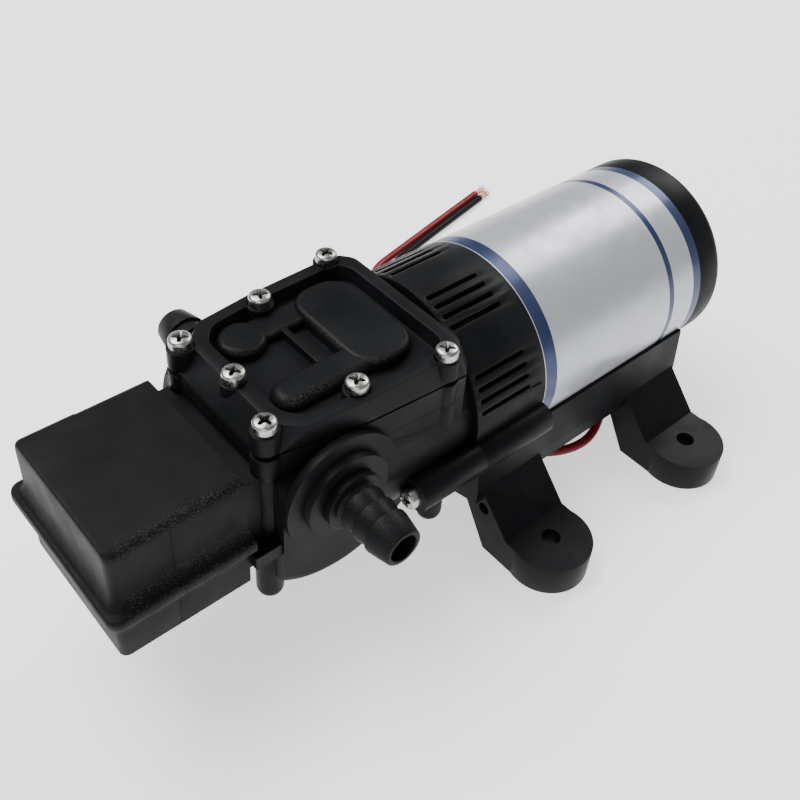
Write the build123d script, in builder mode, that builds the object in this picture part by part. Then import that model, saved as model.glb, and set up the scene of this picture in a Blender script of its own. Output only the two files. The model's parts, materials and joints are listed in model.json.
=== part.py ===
from build123d import *

import os
from math import cos, pi, radians, sin, tan

os.makedirs("parts", exist_ok=True)

# Twelve volt diaphragm water pump for a caravan, in millimetres.
# +X runs along the motor's axis towards its rear, +Z is up. The origin is the centre of the
# four mounting holes, on the surface that the feet stand on. The pressure switch is at -X.

# Shared clearances
FIT = 0.05            # gap round a piece that is seated in another
RUN_FIT = 0.04        # radial gap of a running fit
SOFT_GAP = 0.3        # gap beside soft pieces
OVERRUN = 4.0         # how far a cut runs past the faces it opens

# Motor
MOTOR_Z = 36.5
LABEL_R = 24.25
LABEL_SKIN = 0.3
CAN_FRONT = -17.8
CAN_LENGTH = 56.1
CAN_WALL = 1.5
CAP_LENGTH = 9.1
CAP_WALL = 2.2
CAP_EDGE = 2.6
SPIGOT = 2.5
SHAFT_R = 2.0
SHAFT_CLEAR = 1.0
can_r = LABEL_R - LABEL_SKIN
can_inner_r = can_r - CAN_WALL
can_rear = CAN_FRONT + CAN_LENGTH
cap_rear = can_rear + CAP_LENGTH

# Vented housing between the motor and the head
HOUSING_LENGTH = 20.7
HOUSING_WALL = 2.6
BULKHEAD = 3.0
SLOT_W = 1.1
SLOT_END_GAP = 5.0
SLOT_LENGTH = 14.5
SLOT_INSIDE = 1.3        # how far inside the wall each slot's cut starts
SLOTS_IN_GROUP = 4
SLOT_STEP_DEG = 6.6
SLOT_GROUPS = 4
SLOT_GROUP_STEP_DEG = 47.0
FIRST_SLOT_DEG = -76.3   # from straight up, towards +Y
housing_front = CAN_FRONT - HOUSING_LENGTH

# Long screws that tie the head to the vented housing
TIE_Y = 24.5
TIE_DROP = 5.5           # below the motor's axis
TIE_Z = MOTOR_Z - TIE_DROP
TIE_BOSS_R = 3.85
TIE_REACH = 17.5
TIE_HEAD_X = housing_front - TIE_REACH
TIE_BLIND = 6.0
tie_end = CAN_FRONT - FIT

# Pump head
HEAD_LENGTH = 48.0
HEAD_RISE = 23.5       # from the motor's axis to the cover's rim
COVER_H = 5.8
VALVE_HOUSING_H = 5.7
DIAPHRAGM_T = 1.5
RIM_Z = MOTOR_Z + HEAD_RISE
PART_Z = RIM_Z - COVER_H                   # parting plane under the cover
DIAPHRAGM_Z = PART_Z - VALVE_HOUSING_H     # parting plane under the valve housing
COVER_FLOOR = 1.9
COVER_TAPER_DEG = 14.0
RIM_W = 2.4
MID_RIM_W = 4.3
HEAD_CORNER = 3.1
GASKET_T = 0.5
GASKET_INSET = 0.7
head_left = housing_front - HEAD_LENGTH

# Cover screws and their posts
SCREW_R = 1.5
SCREW_HEAD_R = 2.4
SCREW_HEAD_H = 2.4
SCREW_HEAD_EDGE = 0.9
SCREW_LENGTH = 22.0
CROSS_W = 0.75
CROSS_SPAN = 3.0
CROSS_DEPTH = 1.1
POST_R = 2.9
POST_REACH = 48.0
POST_FOOT_Z = RIM_Z - POST_REACH
NEAR_SCREW_INSET = 7.0
NEAR_SCREW_X = housing_front - NEAR_SCREW_INSET   # pair beside the motor
NEAR_SCREW_Y = 19.2
MID_SCREW_INSET = 26.6
MID_SCREW_X = housing_front - MID_SCREW_INSET
MID_SCREW_Y = 15.7
FAR_SCREW_INSET = 1.8
FAR_SCREW_X = head_left + FAR_SCREW_INSET         # pair beside the switch
FAR_SCREW_Y = 13.95
END_SCREW_INSET = 4.6
END_SCREW_X = head_left + END_SCREW_INSET         # single screw on the middle line
corner_posts = [(x, side * y) for x, y in ((NEAR_SCREW_X, NEAR_SCREW_Y), (FAR_SCREW_X, FAR_SCREW_Y))
                for side in (-1, 1)]
mid_posts = [(MID_SCREW_X, -MID_SCREW_Y), (MID_SCREW_X, MID_SCREW_Y), (END_SCREW_X, 0)]
cover_screw_places = corner_posts + mid_posts

# Raised shapes of the cover
RECESS_LEFT_INSET = 6.8
RECESS_RIGHT_INSET = 4.7
RECESS_LEFT = head_left + RECESS_LEFT_INSET
RECESS_RIGHT = housing_front - RECESS_RIGHT_INSET
RECESS_HALF_W = 14.8
RECESS_CORNER = 3.0
COVER_WALL = 1.6
PLENUM_WALL = 1.2
PLENUM_TURN_Y = 10.4
BLOCK_INSET = 15.3
BLOCK_X = housing_front - BLOCK_INSET
BLOCK_Y = 1.6
BLOCK_LENGTH = 11.8
BLOCK_W = 28.0
BLOCK_CORNER = 5.0
BLOCK_SINK = 0.4
BLOCK_EDGE = 1.5
DOME_INSET = 13.3
DOME_X = head_left + DOME_INSET
DOME_Y = 10.2
DOME_R = 4.5
DOME_SINK = 0.9
DOME_EDGE = 1.4
CAPSULE_INSET = 14.1
CAPSULE_X = head_left + CAPSULE_INSET
CAPSULE_Y = -7.6
CAPSULE_R = 3.3
CAPSULE_SINK = 0.65
CAPSULE_EDGE = 2.2
BAR_Y = 11.2
BAR_W = 5.6
BAR_SINK = 1.3
BAR_EDGE = 1.2
COVER_RIB_INSET = 25.5
COVER_RIB_X = housing_front - COVER_RIB_INSET
COVER_RIB_T = 1.1

# Hose barbs
BARB_INSET = 14.0
BARB_DROP = 6.5           # below the diaphragm's plane
BARB_X = head_left + BARB_INSET
BARB_Z = DIAPHRAGM_Z - BARB_DROP
BARB_FACE_Y = 20.0
BARB_TIP_Y = 39.5
BARB_BORE_R = 3.0
BARB_ROOT_R = 4.3
BARB_RIDGE_R = 5.0
BARB_LAND = 1.0
BARB_TAIL = 4.4
BARB_TAIL_R = 4.6
BARB_COLLAR_R = 6.4
BARB_COLLAR = 2.0
BARB_NECK = 1.6
BOSS_R = 9.5
BOSS_H = 3.7
BOSS_RING_R = 13.2
BOSS_RING_H = 1.8
SEAL_WIRE_R = 0.8
SEAL_CORNER = 0.25
PASSAGE_END_Y = 2.0
RISER_Y = 10.5
RISER_R = 2.4
SENSE_R = 1.0
SENSE_RISE = 4.0          # above the pressure switch's axis
riser_places = [(BARB_X, CAPSULE_Y), (BARB_X, RISER_Y)]

# Lower housing
DRUM_X_INSET = 15.7
DRUM_DROP = 9.5           # below the diaphragm's plane
DRUM_X = head_left + DRUM_X_INSET
DRUM_Z = DIAPHRAGM_Z - DRUM_DROP
DRUM_R = 23.4
DRUM_EDGE = 2.4
DRUM_INSET = 1.2
FLANGE_H = 6.0
DRUM_REACH = 18.8
DRUM_RIGHT = DRUM_X + DRUM_REACH
SHELL_R = 22.6
CAVITY_R = 17.0
CAVITY_HALF_LENGTH = 7.5

# Drive: eccentric, its ball bearing and the rocker
DRIVE_REACH = 15.5
DRIVE_X = housing_front - DRIVE_REACH
CAVITY_LEFT = DRIVE_X - CAVITY_HALF_LENGTH
CAVITY_RIGHT = DRIVE_X + CAVITY_HALF_LENGTH
THROW = 1.2
ROCKER_TILT_DEG = 7.0    # each way
HUB_R = 4.0
HUB_LENGTH = 9.0
DRIVE_BEARING_R = 8.0
DRIVE_BEARING_W = 5.0
RING_T = 1.3
BALLS = 8
SET_SCREW_R = 1.0
PIVOT_DROP = 2.2          # below the diaphragm's plane
PIVOT_Z = DIAPHRAGM_Z - PIVOT_DROP
TRUNNION_R = 2.0
TRUNNION = 3.5
ROCKER_LENGTH = 12.0
ROCKER_PLATE = 2.0
ROCKER_SEAT_R = 6.0
ROCKER_SPINE_HALF_W = 2.5
ROCKER_SPINE = 1.5
FORK_CLEAR = 0.3
FORK_T = 2.8
FORK_DROP = 6.0
PISTON_Y = 9.5
PISTON_R = 6.2
PISTON_CLEAR = 0.8
PISTON_SCREW_R = 1.25
PISTON_SCREW_HEAD_R = 2.4
PISTON_SCREW_SINK = 1.15
CHAMBER_H = 2.4
DIAPHRAGM_LENGTH = 19.0
DIAPHRAGM_W = 35.0
DIAPHRAGM_CORNER = 3.0

# Front ball bearing of the shaft
FRONT_BEARING_R = 6.5
FRONT_BEARING_W = 5.0

# Umbrella valves
VALVE_R = 1.6
VALVE_T = 0.6
VALVE_STEM_R = 0.6
VALVE_OFFSET_X = 2.4
VALVE_BEAD_R = 1.1
VALVE_Y = 7.0
SEAT_PLATE = 1.6
PORT_R = 0.35
PORT_RING_R = 1.15
PORTS = 5

# Pressure switch
SWITCH_DROP = 0.5         # below the motor's axis
SWITCH_Z = MOTOR_Z - SWITCH_DROP
SWITCH_TRAVEL = 1.0
NECK = 4.8
NECK_HALF_W = 15.5
NECK_DROP = 10.2          # these three from the switch's axis
NECK_RISE = 13.8
NECK_LIP_DROP = 6.0
NECK_LOW_Z = SWITCH_Z - NECK_DROP
NECK_TOP_Z = SWITCH_Z + NECK_RISE
NECK_LIP_Z = SWITCH_Z - NECK_LIP_DROP
NECK_LIP_H = 3.4
NECK_LIP_HALF_W = 19.5
DISC_R = 6.3
DISC_T = 0.9
PAD_R = 5.0
PAD_T = 1.5
STEM_R = 2.4
SPRING_SEAT_R = 4.7
SPRING_SEAT_T = 1.4
SPRING_R = 3.9
SPRING_WIRE_R = 0.45
SPRING_LENGTH = 9.0
ADJUSTER_R = 4.8
ADJUSTER_T = 3.4
ADJUSTER_SLOT = 0.9
CASE_WALL = 2.0
CASE_FLANGE = 1.2
CASE_FLANGE_HALF = 11.0
ARM_GAP = 0.6
ARM_W = 3.0
ARM_T = 1.5
SNAP_LENGTH = 12.8
SNAP_W = 5.8
SNAP_H = 6.3
SNAP_BUTTON_R = 0.9
BUTTON_SHARE = 0.33   # of the switch's length that the button reaches in
BLADE_T = 0.5
BLADE_W = 3.2
BLADE_LENGTH = 4.5
neck_left = head_left - NECK
case_bore_r = ADJUSTER_R + FIT
snap_low_z = SWITCH_Z + case_bore_r + CASE_WALL + FIT
button_z = snap_low_z + SNAP_H / 2

# Rubber boot over the switch
BOOT_LENGTH = 26.7
BOOT_HALF_W = 17.2
BOOT_RISE = 17.3          # these three from the switch's axis
BOOT_DROP = 11.0
BOOT_LIP_RISE = 0.4
BOOT_TOP_Z = SWITCH_Z + BOOT_RISE
BOOT_LOW_Z = SWITCH_Z - BOOT_DROP
BOOT_WALL = 2.4
BOOT_LIP_Z = SWITCH_Z + BOOT_LIP_RISE
BOOT_LIP_H = 3.0
BOOT_LIP_OUT = 3.0
BOOT_EDGE = 1.6
BOOT_CORNER = 3.2
BOOT_LIP_CORNER = 4.8
boot_right = neck_left - FIT
boot_left = boot_right - BOOT_LENGTH

# Base bracket
HOLE_X = 25.1
HOLE_Y = 39.2
HOLE_R = 2.2
FOOT_T = 8.0
FOOT_R = 9.7
LEG_W = 18.8
SADDLE_SETBACK = 2.5
SADDLE_FRONT = housing_front + SADDLE_SETBACK
SADDLE_LENGTH = 71.4
SADDLE_TOP_DROP = 7.9     # these three from the motor's axis
SADDLE_LOW_DROP = 22.5
SADDLE_KNEE_DROP = 19.0
SADDLE_TOP_Z = MOTOR_Z - SADDLE_TOP_DROP
SADDLE_LOW_Z = MOTOR_Z - SADDLE_LOW_DROP
SADDLE_KNEE_Z = MOTOR_Z - SADDLE_KNEE_DROP
SADDLE_HALF_W = 24.8
SADDLE_TOP_HALF_W = 23.9
SADDLE_FLOOR = 2.0
SADDLE_FLAT = 12.0
LEG_FOOT_Y = 34.0
LEG_HEEL_Y = 27.6
LEG_ARCH_Y = 19.0
LEG_ARCH_DROP = 23.0      # these two from the motor's axis
LEG_HOLE_DROP = 24.1
LEG_ARCH_Z = MOTOR_Z - LEG_ARCH_DROP
LEG_HOLE_R = 1.5
LEG_HOLE_DEPTH = 5.0
LEG_HOLE_Y = 26.0
LEG_HOLE_Z = MOTOR_Z - LEG_HOLE_DROP
saddle_r = LABEL_R + FIT

# Motor inside
MAGNET_T = 5.6
MAGNET_ARC_DEG = 130.0
MAGNET_LENGTH = 36.0
CORE_R = 15.4
CORE_LENGTH = 26.0
CORE_MID_SHARE = 0.38    # of the can's length from its front
CORE_SLOTS = 8
CORE_SLOT_W = 3.2
CORE_SLOT_DEPTH = 7.0
COIL_OVERHANG = 5.0
COIL_R = 13.2
COMMUTATOR_R = 7.4
COMMUTATOR_LENGTH = 9.0
COMMUTATOR_GROOVE = 0.5
AIR_GAP = 0.9
BRUSH_W = 4.6
BRUSH_T = 4.0
BRUSH_LENGTH = 7.5
HOLDER_WALL = 0.7
BRUSH_PLATE_T = 1.6
BRUSH_SPRING_R = 1.7
BRUSH_SPRING_BORE_R = 1.0
BUSHING_R = 4.2
BUSHING_LENGTH = 5.0
FRONT_BUSHING_LENGTH = 3.0
core_mid_x = CAN_FRONT + CAN_LENGTH * CORE_MID_SHARE
core_front = core_mid_x - CORE_LENGTH / 2
core_rear = core_mid_x + CORE_LENGTH / 2
commutator_front = core_rear + COIL_OVERHANG + FIT
brush_x = commutator_front + COMMUTATOR_LENGTH / 2

# Supply leads
LEAD_R = 1.2
LEAD_FLOOR_GAP = 0.05
BARE_R = 0.6
BARE_LENGTH = 6.5
GLAND_Y = -5.2
GLAND_DROP = 28.2         # below the motor's axis
GLAND_Z = MOTOR_Z - GLAND_DROP
GLAND_HALF_W = 4.6
GLAND_HALF_H = 2.8
GLAND_LENGTH = 5.0
GLAND_WALL = 1.2
GROMMET_LENGTH = 3.5
LEAD_PITCH = 3.4
ARC_SHARE = 0.45     # of the shorter run beside a corner that its arc takes

MOTOR_AXIS = Axis((0, 0, MOTOR_Z), (1, 0, 0))


def round_x(x0, x1, radius, y=0.0, z=MOTOR_Z, mode=Mode.ADD):
    """A cylinder along X from x0 to x1, joined to or cut from the part being built."""
    with BuildSketch(Plane.YZ.offset(x0)) as disc:
        with Locations((y, z)):
            Circle(radius)
    return extrude(disc.sketch, amount=x1 - x0, mode=mode)


def round_y(y0, y1, radius, x, z, mode=Mode.ADD):
    """A cylinder along Y from y0 to y1."""
    with BuildSketch(Plane.XZ.offset(-y0)) as disc:
        with Locations((x, z)):
            Circle(radius)
    return extrude(disc.sketch, amount=y0 - y1, mode=mode)


def round_z(z0, z1, radius, places, mode=Mode.ADD):
    """Cylinders along Z from z0 to z1 at each of the places."""
    with BuildSketch(Plane.XY.offset(z0)) as discs:
        with Locations(*places):
            Circle(radius)
    return extrude(discs.sketch, amount=z1 - z0, mode=mode)


def block(low, high, mode=Mode.ADD):
    """A box between two corners."""
    size = [b - a for a, b in zip(low, high)]
    middle = [(a + b) / 2 for a, b in zip(low, high)]
    with Locations(tuple(middle)):
        return Box(*size, mode=mode)


def finish(part, name):
    """Label a piece and write its file."""
    part.label = name
    export_step(part, f"parts/{name}.step")


def cross_recess(top_z, places):
    """The two crossed slots in the top of each screw head."""
    for width, length in ((CROSS_W, CROSS_SPAN), (CROSS_SPAN, CROSS_W)):
        with BuildSketch(Plane.XY.offset(top_z)) as slots:
            with Locations(*places):
                Rectangle(width, length)
        extrude(slots.sketch, amount=-CROSS_DEPTH, mode=Mode.SUBTRACT)


def head_outline(shrink=0.0):
    """Plan of the head: wide beside the motor, narrower towards the switch."""
    near_x = housing_front - shrink
    far_x = head_left + shrink
    near_w = NEAR_SCREW_Y + RIM_W - shrink
    mid_w = MID_SCREW_Y + MID_RIM_W - shrink
    far_w = FAR_SCREW_Y + RIM_W - shrink
    corner = HEAD_CORNER
    points = [(near_x, near_w - corner), (near_x - corner, near_w), (MID_SCREW_X, mid_w),
              (far_x + corner, far_w), (far_x, far_w - corner)]
    return points + [(x, -y) for x, y in reversed(points)]


# Base bracket: a saddle under the motor on four splayed legs with drilled feet

leg_places = [(side_x, side_y) for side_x in (-1, 1) for side_y in (-1, 1)]
with BuildPart() as base_bracket:
    with BuildSketch(Plane.YZ.offset(SADDLE_FRONT)):
        with BuildLine():
            Polyline((-SADDLE_TOP_HALF_W, SADDLE_TOP_Z), (-SADDLE_HALF_W, SADDLE_KNEE_Z),
                     (-SADDLE_HALF_W, SADDLE_LOW_Z), (-SADDLE_FLAT, MOTOR_Z - saddle_r - SADDLE_FLOOR),
                     (SADDLE_FLAT, MOTOR_Z - saddle_r - SADDLE_FLOOR), (SADDLE_HALF_W, SADDLE_LOW_Z),
                     (SADDLE_HALF_W, SADDLE_KNEE_Z), (SADDLE_TOP_HALF_W, SADDLE_TOP_Z), close=True)
        make_face()
    extrude(amount=SADDLE_LENGTH)
    for side_x, side_y in leg_places:
        leg_from_x = side_x * HOLE_X - LEG_W / 2
        with BuildSketch(Plane.YZ.offset(leg_from_x)) as leg_profile:
            with BuildLine():
                Polyline((side_y * SADDLE_TOP_HALF_W, SADDLE_KNEE_Z), (side_y * SADDLE_HALF_W, SADDLE_KNEE_Z),
                         (side_y * LEG_FOOT_Y, FOOT_T), (side_y * LEG_FOOT_Y, 0),
                         (side_y * LEG_HEEL_Y, 0), (side_y * LEG_ARCH_Y, LEG_ARCH_Z), close=True)
            make_face()
        extrude(leg_profile.sketch, amount=LEG_W)
    with BuildSketch():
        for side_x, side_y in leg_places:
            with Locations((side_x * HOLE_X, side_y * HOLE_Y)):
                Circle(FOOT_R)
            with Locations((side_x * HOLE_X, side_y * (LEG_HEEL_Y + HOLE_Y) / 2)):
                Rectangle(LEG_W, HOLE_Y - LEG_HEEL_Y)
    extrude(amount=FOOT_T)
    round_z(-OVERRUN, FOOT_T + OVERRUN, HOLE_R,
            [(side_x * HOLE_X, side_y * HOLE_Y) for side_x, side_y in leg_places], Mode.SUBTRACT)
    for side_x, side_y in leg_places:
        end_x = side_x * (HOLE_X + LEG_W / 2)
        round_x(end_x - side_x * LEG_HOLE_DEPTH, end_x + side_x * OVERRUN, LEG_HOLE_R,
                side_y * LEG_HOLE_Y, LEG_HOLE_Z, Mode.SUBTRACT)
    round_x(SADDLE_FRONT - OVERRUN, SADDLE_FRONT + SADDLE_LENGTH + OVERRUN, saddle_r, mode=Mode.SUBTRACT)
    for side_y in (-1, 1):
        round_x(SADDLE_FRONT - OVERRUN, tie_end + SOFT_GAP, TIE_BOSS_R + SOFT_GAP,
                side_y * TIE_Y, TIE_Z, Mode.SUBTRACT)
finish(base_bracket.part, "base_bracket")


# Motor can, with its label, magnets and front plate

with BuildPart() as motor_can:
    round_x(CAN_FRONT, can_rear, can_r)
    round_x(CAN_FRONT + CAN_WALL, can_rear + OVERRUN, can_inner_r, mode=Mode.SUBTRACT)
    round_x(CAN_FRONT - OVERRUN, can_rear, BUSHING_R + FIT, mode=Mode.SUBTRACT)
finish(motor_can.part, "motor_can")

with BuildPart() as motor_label:
    round_x(CAN_FRONT, can_rear, LABEL_R)
    round_x(CAN_FRONT, can_rear, can_r, mode=Mode.SUBTRACT)
finish(motor_label.part, "motor_label")

with BuildPart() as magnets:
    for side in (0, 180):
        with BuildSketch(Plane.YZ.offset(core_mid_x - MAGNET_LENGTH / 2)) as arc_face:
            with BuildLine():
                arc_from = side - MAGNET_ARC_DEG / 2
                outer_arc = CenterArc((0, MOTOR_Z), can_inner_r - FIT, arc_from, MAGNET_ARC_DEG)
                inner_arc = CenterArc((0, MOTOR_Z), can_inner_r - FIT - MAGNET_T, arc_from, MAGNET_ARC_DEG)
                Line(outer_arc @ 0, inner_arc @ 0)
                Line(outer_arc @ 1, inner_arc @ 1)
            make_face()
        extrude(arc_face.sketch, amount=MAGNET_LENGTH)
finish(magnets.part, "magnets")


# End cap with the bushing's seat and the gland that the leads come out of

gland_front = can_rear + FIT
window_half_w = GLAND_HALF_W - GLAND_WALL
window_half_h = GLAND_HALF_H - GLAND_WALL
with BuildPart() as end_cap:
    round_x(can_rear, cap_rear, LABEL_R)
    fillet(end_cap.faces().sort_by(Axis.X)[-1].edges(), radius=CAP_EDGE)
    round_x(can_rear - SPIGOT, can_rear, can_inner_r - FIT)
    round_x(can_rear - SPIGOT, cap_rear - CAP_WALL, can_inner_r - CAP_WALL, mode=Mode.SUBTRACT)
    round_x(cap_rear - CAP_WALL - BUSHING_LENGTH, cap_rear - CAP_WALL, BUSHING_R + CAP_WALL)
    block((gland_front, GLAND_Y - GLAND_HALF_W, GLAND_Z - GLAND_HALF_H),
          (gland_front + GLAND_LENGTH, GLAND_Y + GLAND_HALF_W, MOTOR_Z - can_inner_r + GLAND_WALL))
    round_x(cap_rear - CAP_WALL - BUSHING_LENGTH, cap_rear - CAP_WALL, BUSHING_R + FIT, mode=Mode.SUBTRACT)
    block((gland_front - OVERRUN, GLAND_Y - window_half_w, GLAND_Z - window_half_h),
          (gland_front + GROMMET_LENGTH, GLAND_Y + window_half_w, GLAND_Z + window_half_h),
          mode=Mode.SUBTRACT)
finish(end_cap.part, "end_cap")

with BuildPart() as lead_grommet:
    block((gland_front, GLAND_Y - window_half_w + FIT, GLAND_Z - window_half_h + FIT),
          (gland_front + GROMMET_LENGTH - FIT, GLAND_Y + window_half_w - FIT, GLAND_Z + window_half_h - FIT))
finish(lead_grommet.part, "lead_grommet")

with BuildPart() as rear_bushing:
    round_x(cap_rear - CAP_WALL - BUSHING_LENGTH, cap_rear - CAP_WALL, BUSHING_R)
    round_x(can_rear, cap_rear, SHAFT_R + RUN_FIT, mode=Mode.SUBTRACT)
finish(rear_bushing.part, "rear_bushing")

with BuildPart() as front_bushing:
    round_x(CAN_FRONT, CAN_FRONT + FRONT_BUSHING_LENGTH, BUSHING_R)
    round_x(CAN_FRONT + CAN_WALL + FIT, CAN_FRONT + FRONT_BUSHING_LENGTH, BUSHING_R + CAN_WALL)
    round_x(CAN_FRONT - OVERRUN, CAN_FRONT + FRONT_BUSHING_LENGTH + OVERRUN, SHAFT_R + RUN_FIT,
            mode=Mode.SUBTRACT)
finish(front_bushing.part, "front_bushing")


# Brush gear

brush_tip = COMMUTATOR_R + RUN_FIT
brush_end = brush_tip + BRUSH_LENGTH
holder_from = COMMUTATOR_R + AIR_GAP
holder_top = can_inner_r - CAP_WALL - FIT
holder_half_x = BRUSH_W / 2 + FIT + HOLDER_WALL
holder_half_y = BRUSH_T / 2 + FIT + HOLDER_WALL
plate_front = brush_x + holder_half_x + FIT
with BuildPart() as brush_plate:
    round_x(plate_front, plate_front + BRUSH_PLATE_T, can_inner_r - FIT)
    round_x(plate_front - OVERRUN, plate_front + BRUSH_PLATE_T + OVERRUN, COMMUTATOR_R + AIR_GAP,
            mode=Mode.SUBTRACT)
finish(brush_plate.part, "brush_plate")

with BuildPart() as brush_holders:
    for side in (-1, 1):
        low_z = MOTOR_Z + side * holder_from
        high_z = MOTOR_Z + side * holder_top
        cap_z = high_z - side * HOLDER_WALL
        block((brush_x - holder_half_x, -holder_half_y, min(low_z, high_z)),
              (brush_x + holder_half_x, holder_half_y, max(low_z, high_z)))
        open_z = low_z - side * OVERRUN
        block((brush_x - BRUSH_W / 2 - FIT, -BRUSH_T / 2 - FIT, min(open_z, cap_z)),
              (brush_x + BRUSH_W / 2 + FIT, BRUSH_T / 2 + FIT, max(open_z, cap_z)), mode=Mode.SUBTRACT)
finish(brush_holders.part, "brush_holders")

with BuildPart() as brushes:
    for side in (-1, 1):
        ends = (MOTOR_Z + side * (brush_tip - AIR_GAP), MOTOR_Z + side * brush_end)
        block((brush_x - BRUSH_W / 2, -BRUSH_T / 2, min(ends)),
              (brush_x + BRUSH_W / 2, BRUSH_T / 2, max(ends)))
    round_x(brush_x - BRUSH_W, brush_x + BRUSH_W, brush_tip, mode=Mode.SUBTRACT)
finish(brushes.part, "brushes")

with BuildPart() as brush_springs:
    for side in (-1, 1):
        ends = (MOTOR_Z + side * (brush_end + FIT), MOTOR_Z + side * (holder_top - HOLDER_WALL - FIT))
        round_z(min(ends), max(ends), BRUSH_SPRING_R, [(brush_x, 0)])
    round_z(0, MOTOR_Z * 2, BRUSH_SPRING_BORE_R, [(brush_x, 0)], Mode.SUBTRACT)
finish(brush_springs.part, "brush_springs")


# Rotor: shaft, laminated core, windings and commutator

shaft_front = DRIVE_X - HUB_LENGTH / 2 - FIT
shaft_rear = cap_rear - CAP_WALL - SOFT_GAP
with BuildPart() as motor_shaft:
    round_x(shaft_front, shaft_rear, SHAFT_R)
finish(motor_shaft.part, "motor_shaft")

slot_turns = [360 / CORE_SLOTS * n for n in range(CORE_SLOTS)]
with BuildPart() as armature_core:
    round_x(core_front, core_rear, CORE_R)
    with BuildSketch(Plane.YZ.offset(core_front)) as core_slots:
        for turn in slot_turns:
            middle = CORE_R - CORE_SLOT_DEPTH / 2
            place = (middle * cos(radians(turn)), MOTOR_Z + middle * sin(radians(turn)))
            with Locations(Location(place, turn)):
                Rectangle(CORE_SLOT_DEPTH + CORE_SLOT_W, CORE_SLOT_W)
    extrude(core_slots.sketch, amount=CORE_LENGTH, mode=Mode.SUBTRACT)
    round_x(core_front - OVERRUN, core_rear + OVERRUN, SHAFT_R + FIT, mode=Mode.SUBTRACT)
finish(armature_core.part, "armature_core")

coil_inner_r = SHAFT_R + CAN_WALL
with BuildPart() as armature_windings:
    for x0, x1 in ((core_front - COIL_OVERHANG, core_front - FIT),
                   (core_rear + FIT, core_rear + COIL_OVERHANG)):
        round_x(x0, x1, COIL_R)
    fillet(armature_windings.edges().filter_by(GeomType.CIRCLE), radius=CAN_WALL)
    with BuildSketch(Plane.YZ.offset(core_front - COIL_OVERHANG / 2)) as slot_wires:
        for turn in slot_turns:
            middle = COIL_R - CORE_SLOT_DEPTH / 4
            place = (middle * cos(radians(turn)), MOTOR_Z + middle * sin(radians(turn)))
            with Locations(Location(place, turn)):
                Rectangle(CORE_SLOT_DEPTH / 2, CORE_SLOT_W - 2 * FIT)
    extrude(slot_wires.sketch, amount=CORE_LENGTH + COIL_OVERHANG)
    round_x(core_front - COIL_OVERHANG, core_rear + COIL_OVERHANG, coil_inner_r, mode=Mode.SUBTRACT)
finish(armature_windings.part, "armature_windings")

with BuildPart() as commutator:
    round_x(commutator_front, commutator_front + COMMUTATOR_LENGTH, COMMUTATOR_R)
    with BuildSketch(Plane.YZ.offset(commutator_front)) as grooves:
        for turn in slot_turns:
            with Locations(Location((COMMUTATOR_R * cos(radians(turn + 360 / CORE_SLOTS / 2)),
                                     MOTOR_Z + COMMUTATOR_R * sin(radians(turn + 360 / CORE_SLOTS / 2))),
                                    turn + 360 / CORE_SLOTS / 2)):
                Rectangle(CAN_WALL, COMMUTATOR_GROOVE)
    extrude(grooves.sketch, amount=COMMUTATOR_LENGTH, mode=Mode.SUBTRACT)
    round_x(commutator_front - OVERRUN, commutator_front + COMMUTATOR_LENGTH + OVERRUN, SHAFT_R + FIT,
            mode=Mode.SUBTRACT)
finish(commutator.part, "commutator")


# Vented housing between motor and head, with the blind ends of the tie screws

bearing_rear = housing_front + BULKHEAD + FRONT_BEARING_W
with BuildPart() as vent_housing:
    round_x(housing_front, CAN_FRONT, LABEL_R)
    round_x(housing_front + BULKHEAD, CAN_FRONT + OVERRUN, LABEL_R - HOUSING_WALL, mode=Mode.SUBTRACT)
    round_x(housing_front + BULKHEAD, bearing_rear, FRONT_BEARING_R + HOUSING_WALL)
    for side in (-1, 1):
        round_x(housing_front, tie_end, TIE_BOSS_R, side * TIE_Y, TIE_Z)
        round_x(housing_front + BULKHEAD, tie_end + OVERRUN, LABEL_R - HOUSING_WALL, mode=Mode.SUBTRACT)
        round_x(housing_front + BULKHEAD, bearing_rear, FRONT_BEARING_R + HOUSING_WALL)
        round_x(housing_front - OVERRUN, tie_end - TIE_BLIND, SCREW_R + FIT, side * TIE_Y, TIE_Z,
                Mode.SUBTRACT)
    for group in range(SLOT_GROUPS):
        for n in range(SLOTS_IN_GROUP):
            turn = radians(FIRST_SLOT_DEG + group * SLOT_GROUP_STEP_DEG + n * SLOT_STEP_DEG)
            outward = Vector(0, sin(turn), cos(turn))
            slot_start = Vector(CAN_FRONT - SLOT_END_GAP - SLOT_LENGTH / 2, 0, MOTOR_Z)
            slot_start += outward * (LABEL_R - HOUSING_WALL - SLOT_INSIDE)
            with BuildSketch(Plane(origin=slot_start, x_dir=(1, 0, 0), z_dir=outward)) as vent:
                SlotOverall(SLOT_LENGTH, SLOT_W)
            extrude(vent.sketch, amount=SLOT_INSIDE + HOUSING_WALL + OVERRUN, mode=Mode.SUBTRACT)
    round_x(housing_front - OVERRUN, bearing_rear + OVERRUN, FRONT_BEARING_R - RING_T, mode=Mode.SUBTRACT)
    round_x(bearing_rear - FRONT_BEARING_W, bearing_rear + OVERRUN, FRONT_BEARING_R + FIT, mode=Mode.SUBTRACT)
finish(vent_housing.part, "vent_housing")


def bearing_ring(x0, x1, outer_r, inner_r, y=0.0, z=MOTOR_Z):
    """A ring about a line along X, for the bearings' inner and outer rings."""
    round_x(x0, x1, outer_r, y, z)
    round_x(x0 - OVERRUN, x1 + OVERRUN, inner_r, y, z, Mode.SUBTRACT)


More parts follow.
